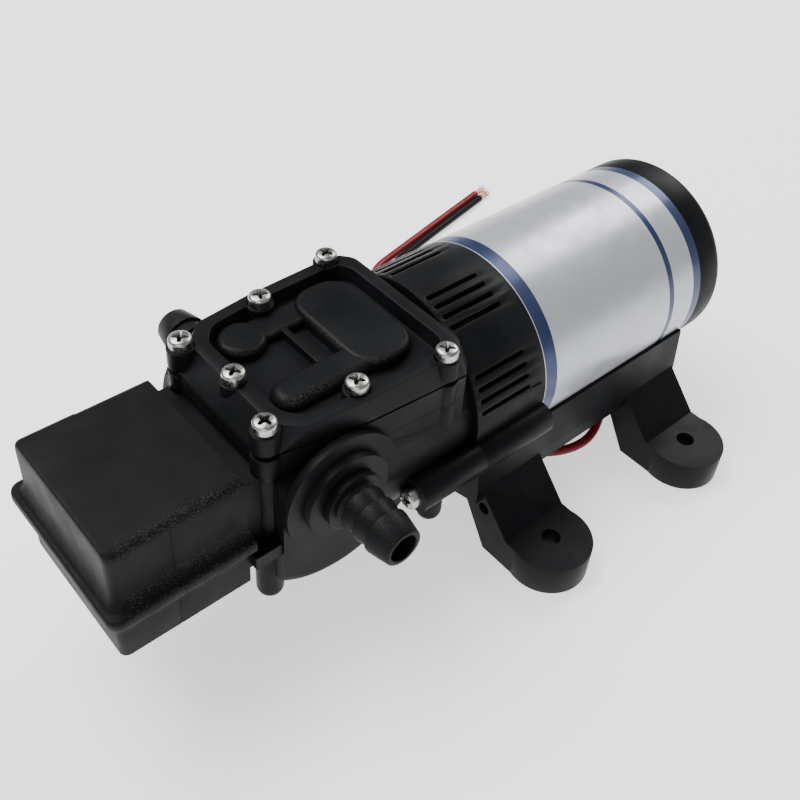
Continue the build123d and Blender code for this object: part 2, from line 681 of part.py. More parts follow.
def bearing_balls(x, inner_r, outer_r, y=0.0, z=MOTOR_Z):
    """Balls between two bearing rings."""
    ball_r = (outer_r - inner_r) / 2 - RUN_FIT
    middle_r = (outer_r + inner_r) / 2
    for n in range(BALLS):
        turn = 2 * pi * n / BALLS
        with Locations((x, y + middle_r * sin(turn), z + middle_r * cos(turn))):
            Sphere(ball_r)


# Front ball bearing

bearing_front = bearing_rear - FRONT_BEARING_W
front_outer_race_r = FRONT_BEARING_R - RING_T
front_inner_race_r = SHAFT_R + RING_T
with BuildPart() as front_bearing_outer:
    bearing_ring(bearing_front, bearing_rear, FRONT_BEARING_R, front_outer_race_r)
finish(front_bearing_outer.part, "front_bearing_outer")

with BuildPart() as front_bearing_inner:
    bearing_ring(bearing_front, bearing_rear, front_inner_race_r, SHAFT_R + FIT)
finish(front_bearing_inner.part, "front_bearing_inner")

with BuildPart() as front_bearing_balls:
    bearing_balls((bearing_front + bearing_rear) / 2, front_inner_race_r, front_outer_race_r)
finish(front_bearing_balls.part, "front_bearing_balls")


# Eccentric hub on the shaft and its ball bearing. At rest the throw points down.

hub_z = MOTOR_Z - THROW
drive_from = DRIVE_X - DRIVE_BEARING_W / 2
drive_to = DRIVE_X + DRIVE_BEARING_W / 2
drive_outer_race_r = DRIVE_BEARING_R - RING_T
drive_inner_race_r = HUB_R + RING_T
with BuildPart() as eccentric_hub:
    round_x(DRIVE_X - HUB_LENGTH / 2, DRIVE_X + HUB_LENGTH / 2, HUB_R, z=hub_z)
    round_x(drive_to + FIT, DRIVE_X + HUB_LENGTH / 2, HUB_R + RING_T, z=hub_z)
    round_x(DRIVE_X - HUB_LENGTH, DRIVE_X + HUB_LENGTH, SHAFT_R + FIT, mode=Mode.SUBTRACT)
    round_z(0, hub_z, SET_SCREW_R + FIT, [(drive_to + FIT + SET_SCREW_R, 0)], Mode.SUBTRACT)
finish(eccentric_hub.part, "eccentric_hub")

with BuildPart() as hub_set_screw:
    round_z(hub_z - HUB_R - RING_T, MOTOR_Z - SHAFT_R - FIT, SET_SCREW_R, [(drive_to + FIT + SET_SCREW_R, 0)])
finish(hub_set_screw.part, "hub_set_screw")

with BuildPart() as drive_bearing_inner:
    bearing_ring(drive_from, drive_to, drive_inner_race_r, HUB_R + FIT, z=hub_z)
finish(drive_bearing_inner.part, "drive_bearing_inner")

with BuildPart() as drive_bearing_balls:
    bearing_balls(DRIVE_X, drive_inner_race_r, drive_outer_race_r, z=hub_z)
finish(drive_bearing_balls.part, "drive_bearing_balls")

with BuildPart() as drive_bearing_outer:
    bearing_ring(drive_from, drive_to, DRIVE_BEARING_R, drive_outer_race_r, z=hub_z)
finish(drive_bearing_outer.part, "drive_bearing_outer")


# Rocker: a plate on two trunnions, a fork round the drive bearing and two piston seats

fork_swing = (PIVOT_Z - MOTOR_Z) * sin(radians(ROCKER_TILT_DEG))
fork_gap = DRIVE_BEARING_R + THROW + fork_swing + FORK_CLEAR
piston_places = [(DRIVE_X, side * PISTON_Y) for side in (-1, 1)]
rocker_top_z = PIVOT_Z + TRUNNION_R
with BuildPart() as rocker:
    spine_low_z = rocker_top_z - ROCKER_PLATE
    spine_top_z = spine_low_z + ROCKER_SPINE
    block((DRIVE_X - ROCKER_SPINE_HALF_W, -PISTON_Y, spine_low_z),
          (DRIVE_X + ROCKER_SPINE_HALF_W, PISTON_Y, spine_top_z))
    block((DRIVE_X - ROCKER_LENGTH / 2, -ROCKER_SPINE_HALF_W, spine_low_z),
          (DRIVE_X + ROCKER_LENGTH / 2, ROCKER_SPINE_HALF_W, spine_top_z))
    round_z(spine_low_z, rocker_top_z, ROCKER_SEAT_R, piston_places)
    for side in (-1, 1):
        near = side * fork_gap
        far = side * (fork_gap + FORK_T)
        block((drive_from, min(near, far), MOTOR_Z - FORK_DROP), (drive_to, max(near, far), rocker_top_z))
        from_x = DRIVE_X + side * (ROCKER_LENGTH / 2 - ROCKER_PLATE)
        to_x = DRIVE_X + side * (ROCKER_LENGTH / 2 + TRUNNION)
        round_x(from_x, to_x, TRUNNION_R, z=PIVOT_Z)
    round_z(rocker_top_z - ROCKER_PLATE, rocker_top_z + OVERRUN, PISTON_SCREW_R + FIT, piston_places,
            Mode.SUBTRACT)
finish(rocker.part, "rocker")

diaphragm_top_z = DIAPHRAGM_Z + DIAPHRAGM_T
with BuildPart() as piston_plates:
    round_z(rocker_top_z + FIT, diaphragm_top_z, PISTON_R, piston_places)
    chamfer(piston_plates.faces().group_by(Axis.Z)[-1].edges(), length=SOFT_GAP)
    with Locations(*[(x, y, diaphragm_top_z) for x, y in piston_places]):
        CounterSinkHole(PISTON_SCREW_R + FIT, PISTON_SCREW_HEAD_R + FIT)
finish(piston_plates.part, "piston_plates")

with BuildPart() as piston_screws:
    round_z(rocker_top_z - ROCKER_PLATE, diaphragm_top_z, PISTON_SCREW_R, piston_places)
    for x, y in piston_places:
        with Locations((x, y, diaphragm_top_z - PISTON_SCREW_SINK / 2)):
            Cone(PISTON_SCREW_HEAD_R - PISTON_SCREW_SINK, PISTON_SCREW_HEAD_R, PISTON_SCREW_SINK)
finish(piston_screws.part, "piston_screws")


# Lower housing: the drum behind the barbs, the round shell over the eccentric and the posts

drum_left = head_left + DRUM_INSET
socket_y = BARB_FACE_Y + BOSS_H
screw_low_z = RIM_Z - SCREW_LENGTH
with BuildPart() as lower_housing:
    with BuildSketch(Plane.XZ.offset(-BARB_FACE_Y)) as drum_face:
        with Locations((DRUM_X, DRUM_Z)):
            Circle(DRUM_R)
        with Locations(((drum_left + DRUM_RIGHT) / 2, (DRUM_Z + DIAPHRAGM_Z) / 2)):
            Rectangle(DRUM_RIGHT - drum_left, DIAPHRAGM_Z - DRUM_Z)
        with Locations(((drum_left + DRUM_RIGHT) / 2, (DRUM_Z - DRUM_R + DIAPHRAGM_Z) / 2)):
            Rectangle(DRUM_RIGHT - drum_left, DIAPHRAGM_Z - DRUM_Z + DRUM_R, mode=Mode.INTERSECT)
    extrude(drum_face.sketch, amount=BARB_FACE_Y * 2)
    fillet(lower_housing.edges().filter_by(GeomType.CIRCLE), radius=DRUM_EDGE)
    round_x(CAVITY_LEFT - POST_R, housing_front, SHELL_R)
    with BuildSketch(Plane.XY.offset(DIAPHRAGM_Z - FLANGE_H)) as flange_plan:
        Polygon(*head_outline(), align=None)
    extrude(flange_plan.sketch, amount=FLANGE_H)
    round_z(POST_FOOT_Z + POST_R, DIAPHRAGM_Z, POST_R, corner_posts)
    with Locations(*[(x, y, POST_FOOT_Z + POST_R) for x, y in corner_posts]):
        Sphere(POST_R)
    for side in (-1, 1):
        round_x(TIE_HEAD_X, housing_front, TIE_BOSS_R, side * TIE_Y, TIE_Z)
    block((head_left - OVERRUN, -SHELL_R * 2, DIAPHRAGM_Z),
          (housing_front + OVERRUN, SHELL_R * 2, PART_Z + SHELL_R), mode=Mode.SUBTRACT)
    for side in (-1, 1):
        round_y(side * BARB_FACE_Y, side * (BARB_FACE_Y + BOSS_RING_H), BOSS_RING_R, BARB_X, BARB_Z)
        round_y(side * BARB_FACE_Y, side * socket_y, BOSS_R, BARB_X, BARB_Z)
    with BuildSketch(Plane.XY.offset(DIAPHRAGM_Z)) as head_room:
        Polygon(*head_outline(-FIT), align=None)
    extrude(head_room.sketch, amount=BOSS_RING_R, mode=Mode.SUBTRACT)
    round_x(CAVITY_LEFT, CAVITY_RIGHT, CAVITY_R, mode=Mode.SUBTRACT)
    block((CAVITY_LEFT, -CAVITY_R, MOTOR_Z), (CAVITY_RIGHT, CAVITY_R, DIAPHRAGM_Z + OVERRUN),
          mode=Mode.SUBTRACT)
    slot_from = DRIVE_X - ROCKER_LENGTH / 2 - TRUNNION - SOFT_GAP
    slot_to = DRIVE_X + ROCKER_LENGTH / 2 + TRUNNION + SOFT_GAP
    round_x(slot_from, slot_to, TRUNNION_R + RUN_FIT, z=PIVOT_Z, mode=Mode.SUBTRACT)
    block((slot_from, -TRUNNION_R - RUN_FIT, PIVOT_Z), (slot_to, TRUNNION_R + RUN_FIT, DIAPHRAGM_Z + OVERRUN),
          mode=Mode.SUBTRACT)
    round_x(CAVITY_RIGHT - OVERRUN, housing_front + OVERRUN, SHAFT_R + SHAFT_CLEAR, mode=Mode.SUBTRACT)
    for side in (-1, 1):
        round_y(side * (socket_y + OVERRUN), side * PASSAGE_END_Y, BARB_BORE_R, BARB_X, BARB_Z, Mode.SUBTRACT)
        round_y(side * (socket_y + OVERRUN), side * (socket_y - BARB_TAIL - FIT), BARB_TAIL_R + FIT, BARB_X,
                BARB_Z, Mode.SUBTRACT)
        round_x(TIE_HEAD_X - OVERRUN, housing_front + OVERRUN, SCREW_R + FIT, side * TIE_Y, TIE_Z,
                Mode.SUBTRACT)
        round_x(TIE_HEAD_X - SCREW_HEAD_H - FIT, TIE_HEAD_X, SCREW_HEAD_R + FIT, side * TIE_Y, TIE_Z,
                Mode.SUBTRACT)
    round_z(BARB_Z, DIAPHRAGM_Z + OVERRUN, RISER_R, riser_places, Mode.SUBTRACT)
    round_z(screw_low_z - FIT, DIAPHRAGM_Z + OVERRUN, SCREW_R + FIT, cover_screw_places, Mode.SUBTRACT)
    round_x(head_left - OVERRUN, BARB_X, SENSE_R, -PASSAGE_END_Y - SENSE_R, SWITCH_Z + SENSE_RISE,
            Mode.SUBTRACT)
finish(lower_housing.part, "lower_housing")


# Diaphragm, clamped between the lower housing and the valve housing

with BuildPart() as diaphragm:
    with BuildSketch(Plane.XY.offset(DIAPHRAGM_Z)) as sheet_plan:
        with Locations((DRIVE_X, 0)):
            RectangleRounded(DIAPHRAGM_LENGTH, DIAPHRAGM_W, DIAPHRAGM_CORNER)
        with Locations(*piston_places):
            Circle(PISTON_R + PISTON_CLEAR, mode=Mode.SUBTRACT)
    extrude(sheet_plan.sketch, amount=DIAPHRAGM_T)
finish(diaphragm.part, "diaphragm")


# Valve housing: two chambers over the pistons, with an inlet and an outlet seat in each

chamber_top_z = diaphragm_top_z + CHAMBER_H
seat_top_z = chamber_top_z + SEAT_PLATE
inlet_places = [(DRIVE_X + VALVE_OFFSET_X, side * VALVE_Y) for side in (-1, 1)]
outlet_places = [(DRIVE_X - VALVE_OFFSET_X, side * VALVE_Y) for side in (-1, 1)]
ring_turns = [radians(360 / PORTS * n) for n in range(PORTS)]
valve_ports = [(x + PORT_RING_R * cos(turn), y + PORT_RING_R * sin(turn))
               for x, y in inlet_places + outlet_places for turn in ring_turns]


def plenums(z0, z1):
    """Cut the inlet and outlet hollows that the cover and the valve housing share."""
    wall = PLENUM_WALL / 2
    left_x = BLOCK_X - BLOCK_LENGTH / 2 + COVER_WALL
    right_x = BLOCK_X + BLOCK_LENGTH / 2 - COVER_WALL
    low_y = BLOCK_Y - BLOCK_W / 2 + COVER_WALL
    high_y = BLOCK_Y + BLOCK_W / 2 - COVER_WALL
    block((left_x, low_y, z0), (DRIVE_X - wall, PLENUM_TURN_Y - wall, z1), mode=Mode.SUBTRACT)
    block((DRIVE_X + wall, low_y, z0), (right_x, high_y, z1), mode=Mode.SUBTRACT)
    block((left_x, PLENUM_TURN_Y + wall, z0), (right_x, high_y, z1), mode=Mode.SUBTRACT)


with BuildPart() as valve_housing:
    with BuildSketch(Plane.XY.offset(DIAPHRAGM_Z)) as valve_plan:
        Polygon(*head_outline(), align=None)
        with Locations(*corner_posts):
            Circle(POST_R)
    extrude(valve_plan.sketch, amount=PART_Z - DIAPHRAGM_Z)
    with BuildSketch(Plane.XY.offset(DIAPHRAGM_Z)) as pocket_plan:
        with Locations((DRIVE_X, 0)):
            RectangleRounded(DIAPHRAGM_LENGTH + 2 * FIT, DIAPHRAGM_W + 2 * FIT, DIAPHRAGM_CORNER + FIT)
    extrude(pocket_plan.sketch, amount=DIAPHRAGM_T, mode=Mode.SUBTRACT)
    round_z(diaphragm_top_z - OVERRUN, chamber_top_z, PISTON_R + PISTON_CLEAR, piston_places, Mode.SUBTRACT)
    plenums(seat_top_z, PART_Z + OVERRUN)
    round_z(diaphragm_top_z, PART_Z + OVERRUN, VALVE_STEM_R + FIT, inlet_places + outlet_places,
            Mode.SUBTRACT)
    round_z(diaphragm_top_z, PART_Z + OVERRUN, PORT_R, valve_ports, Mode.SUBTRACT)
    round_z(DIAPHRAGM_Z - OVERRUN, PART_Z + OVERRUN, RISER_R, riser_places, Mode.SUBTRACT)
    round_z(DIAPHRAGM_Z - OVERRUN, PART_Z + OVERRUN, SCREW_R + FIT, cover_screw_places, Mode.SUBTRACT)
finish(valve_housing.part, "valve_housing")


def umbrella(places, seat_z, back_z):
    """Rubber valves: a disc on one side of the seat plate, a stem and a bead on the other."""
    away = 1 if seat_z > back_z else -1
    disc_ends = (seat_z, seat_z + away * VALVE_T)
    bead_ends = (back_z, back_z - away * VALVE_T)
    stem_ends = (seat_z, back_z)
    round_z(min(disc_ends), max(disc_ends), VALVE_R, places)
    round_z(min(bead_ends), max(bead_ends), VALVE_BEAD_R, places)
    round_z(min(stem_ends), max(stem_ends), VALVE_STEM_R, places)


with BuildPart() as inlet_valves:
    umbrella(inlet_places, chamber_top_z, seat_top_z)
finish(inlet_valves.part, "inlet_valves")

with BuildPart() as outlet_valves:
    umbrella(outlet_places, seat_top_z, chamber_top_z)
finish(outlet_valves.part, "outlet_valves")


# Flat gasket under the cover

cover_low_z = PART_Z + GASKET_T
with BuildPart() as cover_gasket:
    with BuildSketch(Plane.XY.offset(PART_Z)) as gasket_plan:
        Polygon(*head_outline(GASKET_INSET), align=None)
        with Locations(*cover_screw_places):
            Circle(SCREW_R + FIT, mode=Mode.SUBTRACT)
        with Locations(*riser_places):
            Circle(RISER_R, mode=Mode.SUBTRACT)
    extrude(gasket_plan.sketch, amount=GASKET_T)
    plenums(PART_Z - OVERRUN, PART_Z + OVERRUN)
finish(cover_gasket.part, "cover_gasket")


# Top cover: a rim round a sunk floor, with the raised flow channels

floor_z = cover_low_z + COVER_FLOOR
block_top_z = RIM_Z - BLOCK_SINK
dome_top_z = RIM_Z - DOME_SINK
capsule_top_z = RIM_Z - CAPSULE_SINK
bar_top_z = RIM_Z - BAR_SINK
capsule_mid_x = (CAPSULE_X + BLOCK_X) / 2
with BuildPart() as raised_block:
    with BuildSketch(Plane.XY.offset(floor_z)):
        with Locations((BLOCK_X, BLOCK_Y)):
            RectangleRounded(BLOCK_LENGTH, BLOCK_W, BLOCK_CORNER)
    extrude(amount=block_top_z - floor_z)
    fillet(raised_block.faces().sort_by(Axis.Z)[-1].edges(), radius=BLOCK_EDGE)

with BuildPart() as raised_dome:
    round_z(floor_z, dome_top_z, DOME_R, [(DOME_X, DOME_Y)])
    fillet(raised_dome.faces().sort_by(Axis.Z)[-1].edges(), radius=DOME_EDGE)

with BuildPart() as raised_capsule:
    with BuildSketch(Plane.XY.offset(floor_z)):
        with Locations((capsule_mid_x, CAPSULE_Y)):
            SlotOverall(BLOCK_X - CAPSULE_X + CAPSULE_R * 2, CAPSULE_R * 2)
    extrude(amount=capsule_top_z - floor_z)
    fillet(raised_capsule.faces().sort_by(Axis.Z)[-1].edges(), radius=CAPSULE_EDGE)

with BuildPart() as raised_bar:
    block((DOME_X, BAR_Y - BAR_W / 2, floor_z), (BLOCK_X, BAR_Y + BAR_W / 2, bar_top_z))
    fillet(raised_bar.faces().sort_by(Axis.Z)[-1].edges().filter_by(Axis.X), radius=BAR_EDGE)

with BuildPart() as top_cover:
    with BuildSketch(Plane.XY.offset(cover_low_z)) as cover_plan:
        Polygon(*head_outline(), align=None)
    extrude(cover_plan.sketch, amount=RIM_Z - cover_low_z, taper=COVER_TAPER_DEG)
    round_z(cover_low_z, RIM_Z, POST_R, corner_posts)
    with BuildSketch(Plane.XY.offset(floor_z)) as recess_plan:
        with Locations(((RECESS_LEFT + RECESS_RIGHT) / 2, 0)):
            RectangleRounded(RECESS_RIGHT - RECESS_LEFT, RECESS_HALF_W * 2, RECESS_CORNER)
    extrude(recess_plan.sketch, amount=RIM_Z, mode=Mode.SUBTRACT)
    round_z(cover_low_z, RIM_Z, POST_R, mid_posts)
    add(raised_block.part)
    add(raised_dome.part)
    add(raised_capsule.part)
    add(raised_bar.part)
    block((COVER_RIB_X - COVER_RIB_T / 2, CAPSULE_Y, floor_z),
          (COVER_RIB_X + COVER_RIB_T / 2, BAR_Y, bar_top_z - COVER_RIB_T / 2))
    plenums(cover_low_z - OVERRUN, block_top_z - COVER_WALL)
    round_z(cover_low_z - OVERRUN, dome_top_z - COVER_WALL, RISER_R, riser_places[1:], Mode.SUBTRACT)
    round_z(cover_low_z - OVERRUN, capsule_top_z - COVER_WALL, RISER_R, riser_places[:1], Mode.SUBTRACT)
    round_z(cover_low_z - OVERRUN, RIM_Z + OVERRUN, SCREW_R + FIT, cover_screw_places, Mode.SUBTRACT)
finish(top_cover.part, "top_cover")


# Screws

with BuildPart() as cover_screws:
    round_z(screw_low_z, RIM_Z, SCREW_R, cover_screw_places)
    round_z(RIM_Z, RIM_Z + SCREW_HEAD_H, SCREW_HEAD_R, cover_screw_places)
    fillet(cover_screws.faces().group_by(Axis.Z)[-1].edges(), radius=SCREW_HEAD_EDGE)
    cross_recess(RIM_Z + SCREW_HEAD_H, cover_screw_places)
finish(cover_screws.part, "cover_screws")

with BuildPart() as tie_screws:
    for side in (-1, 1):
        round_x(TIE_HEAD_X, tie_end - TIE_BLIND - FIT, SCREW_R, side * TIE_Y, TIE_Z)
        round_x(TIE_HEAD_X - SCREW_HEAD_H, TIE_HEAD_X, SCREW_HEAD_R, side * TIE_Y, TIE_Z)
    fillet(tie_screws.faces().group_by(Axis.X)[0].edges(), radius=SCREW_HEAD_EDGE)
    for side in (-1, 1):
        for width, height in ((CROSS_W, CROSS_SPAN), (CROSS_SPAN, CROSS_W)):
            block((TIE_HEAD_X - SCREW_HEAD_H - OVERRUN, side * TIE_Y - width / 2, TIE_Z - height / 2),
                  (TIE_HEAD_X - SCREW_HEAD_H + CROSS_DEPTH, side * TIE_Y + width / 2, TIE_Z + height / 2),
                  mode=Mode.SUBTRACT)
finish(tie_screws.part, "tie_screws")


# Hose barbs and their seal rings

collar_y = socket_y + BARB_COLLAR
ridge_length = (BARB_TIP_Y - collar_y - BARB_NECK) / 2
groove_y = socket_y - BARB_TAIL / 2
for side, barb_name, seal_name in ((1, "inlet_barb", "inlet_seal"), (-1, "outlet_barb", "outlet_seal")):
    barb_axis = Axis((BARB_X, 0, BARB_Z), (0, 1, 0))
    profile = [(BARB_BORE_R, socket_y - BARB_TAIL), (BARB_TAIL_R, socket_y - BARB_TAIL),
               (BARB_TAIL_R, groove_y - SEAL_WIRE_R), (BARB_TAIL_R - SEAL_WIRE_R, groove_y - SEAL_WIRE_R),
               (BARB_TAIL_R - SEAL_WIRE_R, groove_y + SEAL_WIRE_R), (BARB_TAIL_R, groove_y + SEAL_WIRE_R),
               (BARB_TAIL_R, socket_y + FIT), (BARB_COLLAR_R, socket_y + FIT), (BARB_COLLAR_R, collar_y),
               (BARB_ROOT_R, collar_y)]
    for ridge in range(2):
        ridge_y = collar_y + BARB_NECK + ridge * ridge_length
        profile += [(BARB_ROOT_R, ridge_y), (BARB_RIDGE_R, ridge_y), (BARB_RIDGE_R, ridge_y + BARB_LAND)]
    profile += [(BARB_ROOT_R, BARB_TIP_Y), (BARB_BORE_R, BARB_TIP_Y)]
    with BuildPart() as barb:
        with BuildSketch(Plane.XY.offset(BARB_Z)):
            with BuildLine():
                Polyline(*[(BARB_X + r, side * y) for r, y in profile], close=True)
            make_face()
        revolve(axis=barb_axis)
    finish(barb.part, barb_name)
    with BuildPart() as seal:
        with BuildSketch(Plane.XY.offset(BARB_Z)):
            with Locations((BARB_X + BARB_TAIL_R - SEAL_WIRE_R / 2 + FIT / 2, side * groove_y)):
                RectangleRounded(SEAL_WIRE_R + FIT, SEAL_WIRE_R * 2 - FIT * 2, SEAL_CORNER)
        revolve(axis=barb_axis)
    finish(seal.part, seal_name)


# Pressure switch: neck on the head, sensing disc, plunger, spring, adjuster and snap switch

plunger_x = drum_left - DISC_T - FIT
with BuildPart() as switch_disc:
    round_x(drum_left - DISC_T, drum_left, DISC_R, z=SWITCH_Z)
finish(switch_disc.part, "switch_disc")

spring_from = neck_left - SPRING_LENGTH
adjuster_left = spring_from - FIT - ADJUSTER_T
arm_x = neck_left + ARM_GAP
with BuildPart() as switch_neck:
    block((neck_left, -NECK_HALF_W, NECK_LOW_Z), (drum_left, NECK_HALF_W, NECK_TOP_Z))
    block((neck_left, -NECK_LIP_HALF_W, NECK_LIP_Z), (drum_left, NECK_LIP_HALF_W, NECK_LIP_Z + NECK_LIP_H))
    block((head_left, -NECK_HALF_W - OVERRUN, DIAPHRAGM_Z - FLANGE_H - SOFT_GAP),
          (drum_left + OVERRUN, NECK_HALF_W + OVERRUN, NECK_TOP_Z + OVERRUN), mode=Mode.SUBTRACT)
    round_z(POST_FOOT_Z - OVERRUN, NECK_TOP_Z + OVERRUN, POST_R + FIT, corner_posts, Mode.SUBTRACT)
    round_x(drum_left - DISC_T, drum_left + OVERRUN, DISC_R + FIT, z=SWITCH_Z, mode=Mode.SUBTRACT)
    round_x(neck_left - OVERRUN, drum_left, PAD_R + SOFT_GAP, z=SWITCH_Z, mode=Mode.SUBTRACT)
    block((neck_left - OVERRUN, -ARM_W / 2 - SOFT_GAP, SWITCH_Z),
          (arm_x + ARM_T + SOFT_GAP, ARM_W / 2 + SOFT_GAP, button_z + SNAP_BUTTON_R + SOFT_GAP),
          mode=Mode.SUBTRACT)
finish(switch_neck.part, "switch_neck")

with BuildPart() as switch_plunger:
    round_x(arm_x, plunger_x, STEM_R, z=SWITCH_Z)
    round_x(plunger_x - PAD_T, plunger_x, PAD_R, z=SWITCH_Z)
    round_x(arm_x - SPRING_SEAT_T + ARM_T, arm_x + ARM_T, SPRING_SEAT_R, z=SWITCH_Z)
    block((arm_x, -ARM_W / 2, SWITCH_Z), (arm_x + ARM_T, ARM_W / 2, button_z + SNAP_BUTTON_R))
finish(switch_plunger.part, "switch_plunger")

spring_start = arm_x - FIT * 2
with BuildPart() as switch_spring:
    round_x(spring_from, spring_start, SPRING_R + SPRING_WIRE_R, z=SWITCH_Z)
    round_x(spring_from - OVERRUN, spring_start + OVERRUN, SPRING_R - SPRING_WIRE_R, z=SWITCH_Z,
            mode=Mode.SUBTRACT)
finish(switch_spring.part, "switch_spring")

with BuildPart() as adjusting_screw:
    round_x(adjuster_left, adjuster_left + ADJUSTER_T, ADJUSTER_R, z=SWITCH_Z)
    block((adjuster_left - OVERRUN, -ADJUSTER_SLOT / 2, SWITCH_Z - ADJUSTER_R),
          (adjuster_left + ADJUSTER_SLOT, ADJUSTER_SLOT / 2, SWITCH_Z + ADJUSTER_R), mode=Mode.SUBTRACT)
finish(adjusting_screw.part, "adjusting_screw")

with BuildPart() as switch_case:
    round_x(adjuster_left - FIT, neck_left - FIT, case_bore_r + CASE_WALL, z=SWITCH_Z)
    block((neck_left - CASE_FLANGE - FIT, -CASE_FLANGE_HALF, SWITCH_Z - case_bore_r - CASE_WALL),
          (neck_left - FIT, CASE_FLANGE_HALF, SWITCH_Z + case_bore_r + CASE_WALL))
    round_x(adjuster_left - OVERRUN, neck_left + OVERRUN, case_bore_r, z=SWITCH_Z, mode=Mode.SUBTRACT)
    block((neck_left - CASE_FLANGE - OVERRUN, -ARM_W / 2 - SOFT_GAP, SWITCH_Z),
          (neck_left + OVERRUN, ARM_W / 2 + SOFT_GAP, SWITCH_Z + case_bore_r + CASE_WALL + OVERRUN),
          mode=Mode.SUBTRACT)
finish(switch_case.part, "switch_case")

snap_right = arm_x - SWITCH_TRAVEL - SOFT_GAP * 2
snap_inside_x = snap_right - SNAP_LENGTH * BUTTON_SHARE
with BuildPart() as snap_switch:
    block((snap_right - SNAP_LENGTH, -SNAP_W / 2, snap_low_z), (snap_right, SNAP_W / 2, snap_low_z + SNAP_H))
    round_x(snap_inside_x, snap_right + OVERRUN, SNAP_BUTTON_R + RUN_FIT, z=button_z, mode=Mode.SUBTRACT)
finish(snap_switch.part, "snap_switch")

with BuildPart() as snap_button:
    round_x(snap_inside_x + SWITCH_TRAVEL + SOFT_GAP, arm_x - FIT, SNAP_BUTTON_R, z=button_z)
finish(snap_button.part, "snap_button")

with BuildPart() as switch_terminals:
    for z in (button_z - SNAP_H / 4, button_z + SNAP_H / 4):
        block((snap_right - SNAP_LENGTH - BLADE_LENGTH, -BLADE_W / 2, z - BLADE_T / 2),
              (snap_right - SNAP_LENGTH, BLADE_W / 2, z + BLADE_T / 2))
finish(switch_terminals.part, "switch_terminals")


# Rubber boot over the switch

with BuildPart() as rubber_boot:
    block((boot_left, -BOOT_HALF_W, BOOT_LOW_Z), (boot_right, BOOT_HALF_W, BOOT_TOP_Z))
    fillet(rubber_boot.edges().filter_by(Axis.Z).group_by(Axis.X)[0], radius=BOOT_CORNER)
    fillet(rubber_boot.faces().sort_by(Axis.Z)[-1].edges() - rubber_boot.faces().sort_by(Axis.X)[-1].edges(),
           radius=BOOT_EDGE)
    with BuildSketch(Plane.XY.offset(BOOT_LIP_Z)) as lip_plan:
        with Locations(((boot_left - BOOT_LIP_OUT + boot_right) / 2, 0)):
            Rectangle(boot_right - boot_left + BOOT_LIP_OUT, (BOOT_HALF_W + BOOT_LIP_OUT) * 2)
        fillet(lip_plan.vertices().group_by(Axis.X)[0], radius=BOOT_LIP_CORNER)
    extrude(lip_plan.sketch, amount=BOOT_LIP_H)
    block((boot_left + BOOT_WALL, -BOOT_HALF_W + BOOT_WALL, BOOT_LOW_Z + BOOT_WALL),
          (boot_right + OVERRUN, BOOT_HALF_W - BOOT_WALL, BOOT_TOP_Z - BOOT_WALL), mode=Mode.SUBTRACT)
finish(rubber_boot.part, "rubber_boot")


# Supply leads: they leave the gland, run under the motor and out behind it to bare ends

lead_z = LEAD_R + LEAD_FLOOR_GAP
red_y = GLAND_Y - LEAD_PITCH / 2
black_y = GLAND_Y + LEAD_PITCH / 2
RED_ROUTE = [(gland_front, red_y, GLAND_Z), (31.5, red_y, GLAND_Z), (24.5, -12.0, 5.6), (17.5, -18.6, 2.0),
             (8.0, -21.0, lead_z), (-2.5, -16.8, lead_z), (-8.8, -6.6, lead_z), (-9.6, 7.0, lead_z),
             (-5.4, 21.4, lead_z), (1.4, 36.0, lead_z), (9.2, 51.0, lead_z), (20.0, 64.4, lead_z),
             (34.4, 73.6, lead_z), (51.2, 78.6, lead_z), (68.0, 81.9, lead_z)]
BLACK_ROUTE = [(gland_front, black_y, GLAND_Z), (31.2, black_y, GLAND_Z), (24.2, -7.4, 5.6),
               (17.0, -12.4, 2.2), (8.6, -15.0, lead_z), (1.2, -12.0, lead_z), (-3.2, -3.6, lead_z),
               (-4.0, 8.0, lead_z), (-0.6, 21.0, lead_z), (6.0, 34.0, lead_z), (13.6, 48.0, lead_z),
               (24.2, 60.0, lead_z), (37.4, 68.6, lead_z), (53.2, 73.8, lead_z), (69.0, 77.2, lead_z)]


def corner_radii(route):
    """The largest arc that each corner's shorter run allows."""
    points = [Vector(*point) for point in route]
    radii = []
    for before, corner, after in zip(points, points[1:], points[2:]):
        half_turn = radians((corner - before).get_angle(after - corner)) / 2
        radii.append(ARC_SHARE * min((corner - before).length, (after - corner).length) / tan(half_turn))
    return radii


def lead_tube(route, name):
    """One insulated lead: a tube along straight runs joined by tangent arcs."""
    radii = corner_radii(route)
    with BuildPart() as lead:
        with BuildLine():
            path = FilletPolyline(*route, radius=radii)
        with BuildSketch(Plane(path @ 0, z_dir=path % 0)):
            Circle(LEAD_R)
        sweep()
    print(name, "length", round(path.length, 1), "radii", [round(radius, 1) for radius in radii])
    ratio = lead.part.volume / (pi * LEAD_R ** 2 * path.length)
    print(name, "volume over section times length", round(ratio, 4))
    finish(lead.part, name)
    return path @ 1, path % 1


red_end, red_direction = lead_tube(RED_ROUTE, "lead_red")
black_end, black_direction = lead_tube(BLACK_ROUTE, "lead_black")

with BuildPart() as bare_ends:
    for end, direction in ((red_end, red_direction), (black_end, black_direction)):
        with BuildSketch(Plane(end, z_dir=direction)) as strands:
            Circle(BARE_R)
        extrude(strands.sketch, amount=BARE_LENGTH)
finish(bare_ends.part, "bare_ends")
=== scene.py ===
import json
import random
from math import cos, pi, radians, sin

import bmesh
import bpy
from mathutils import Matrix, Vector
from mathutils.geometry import tessellate_polygon


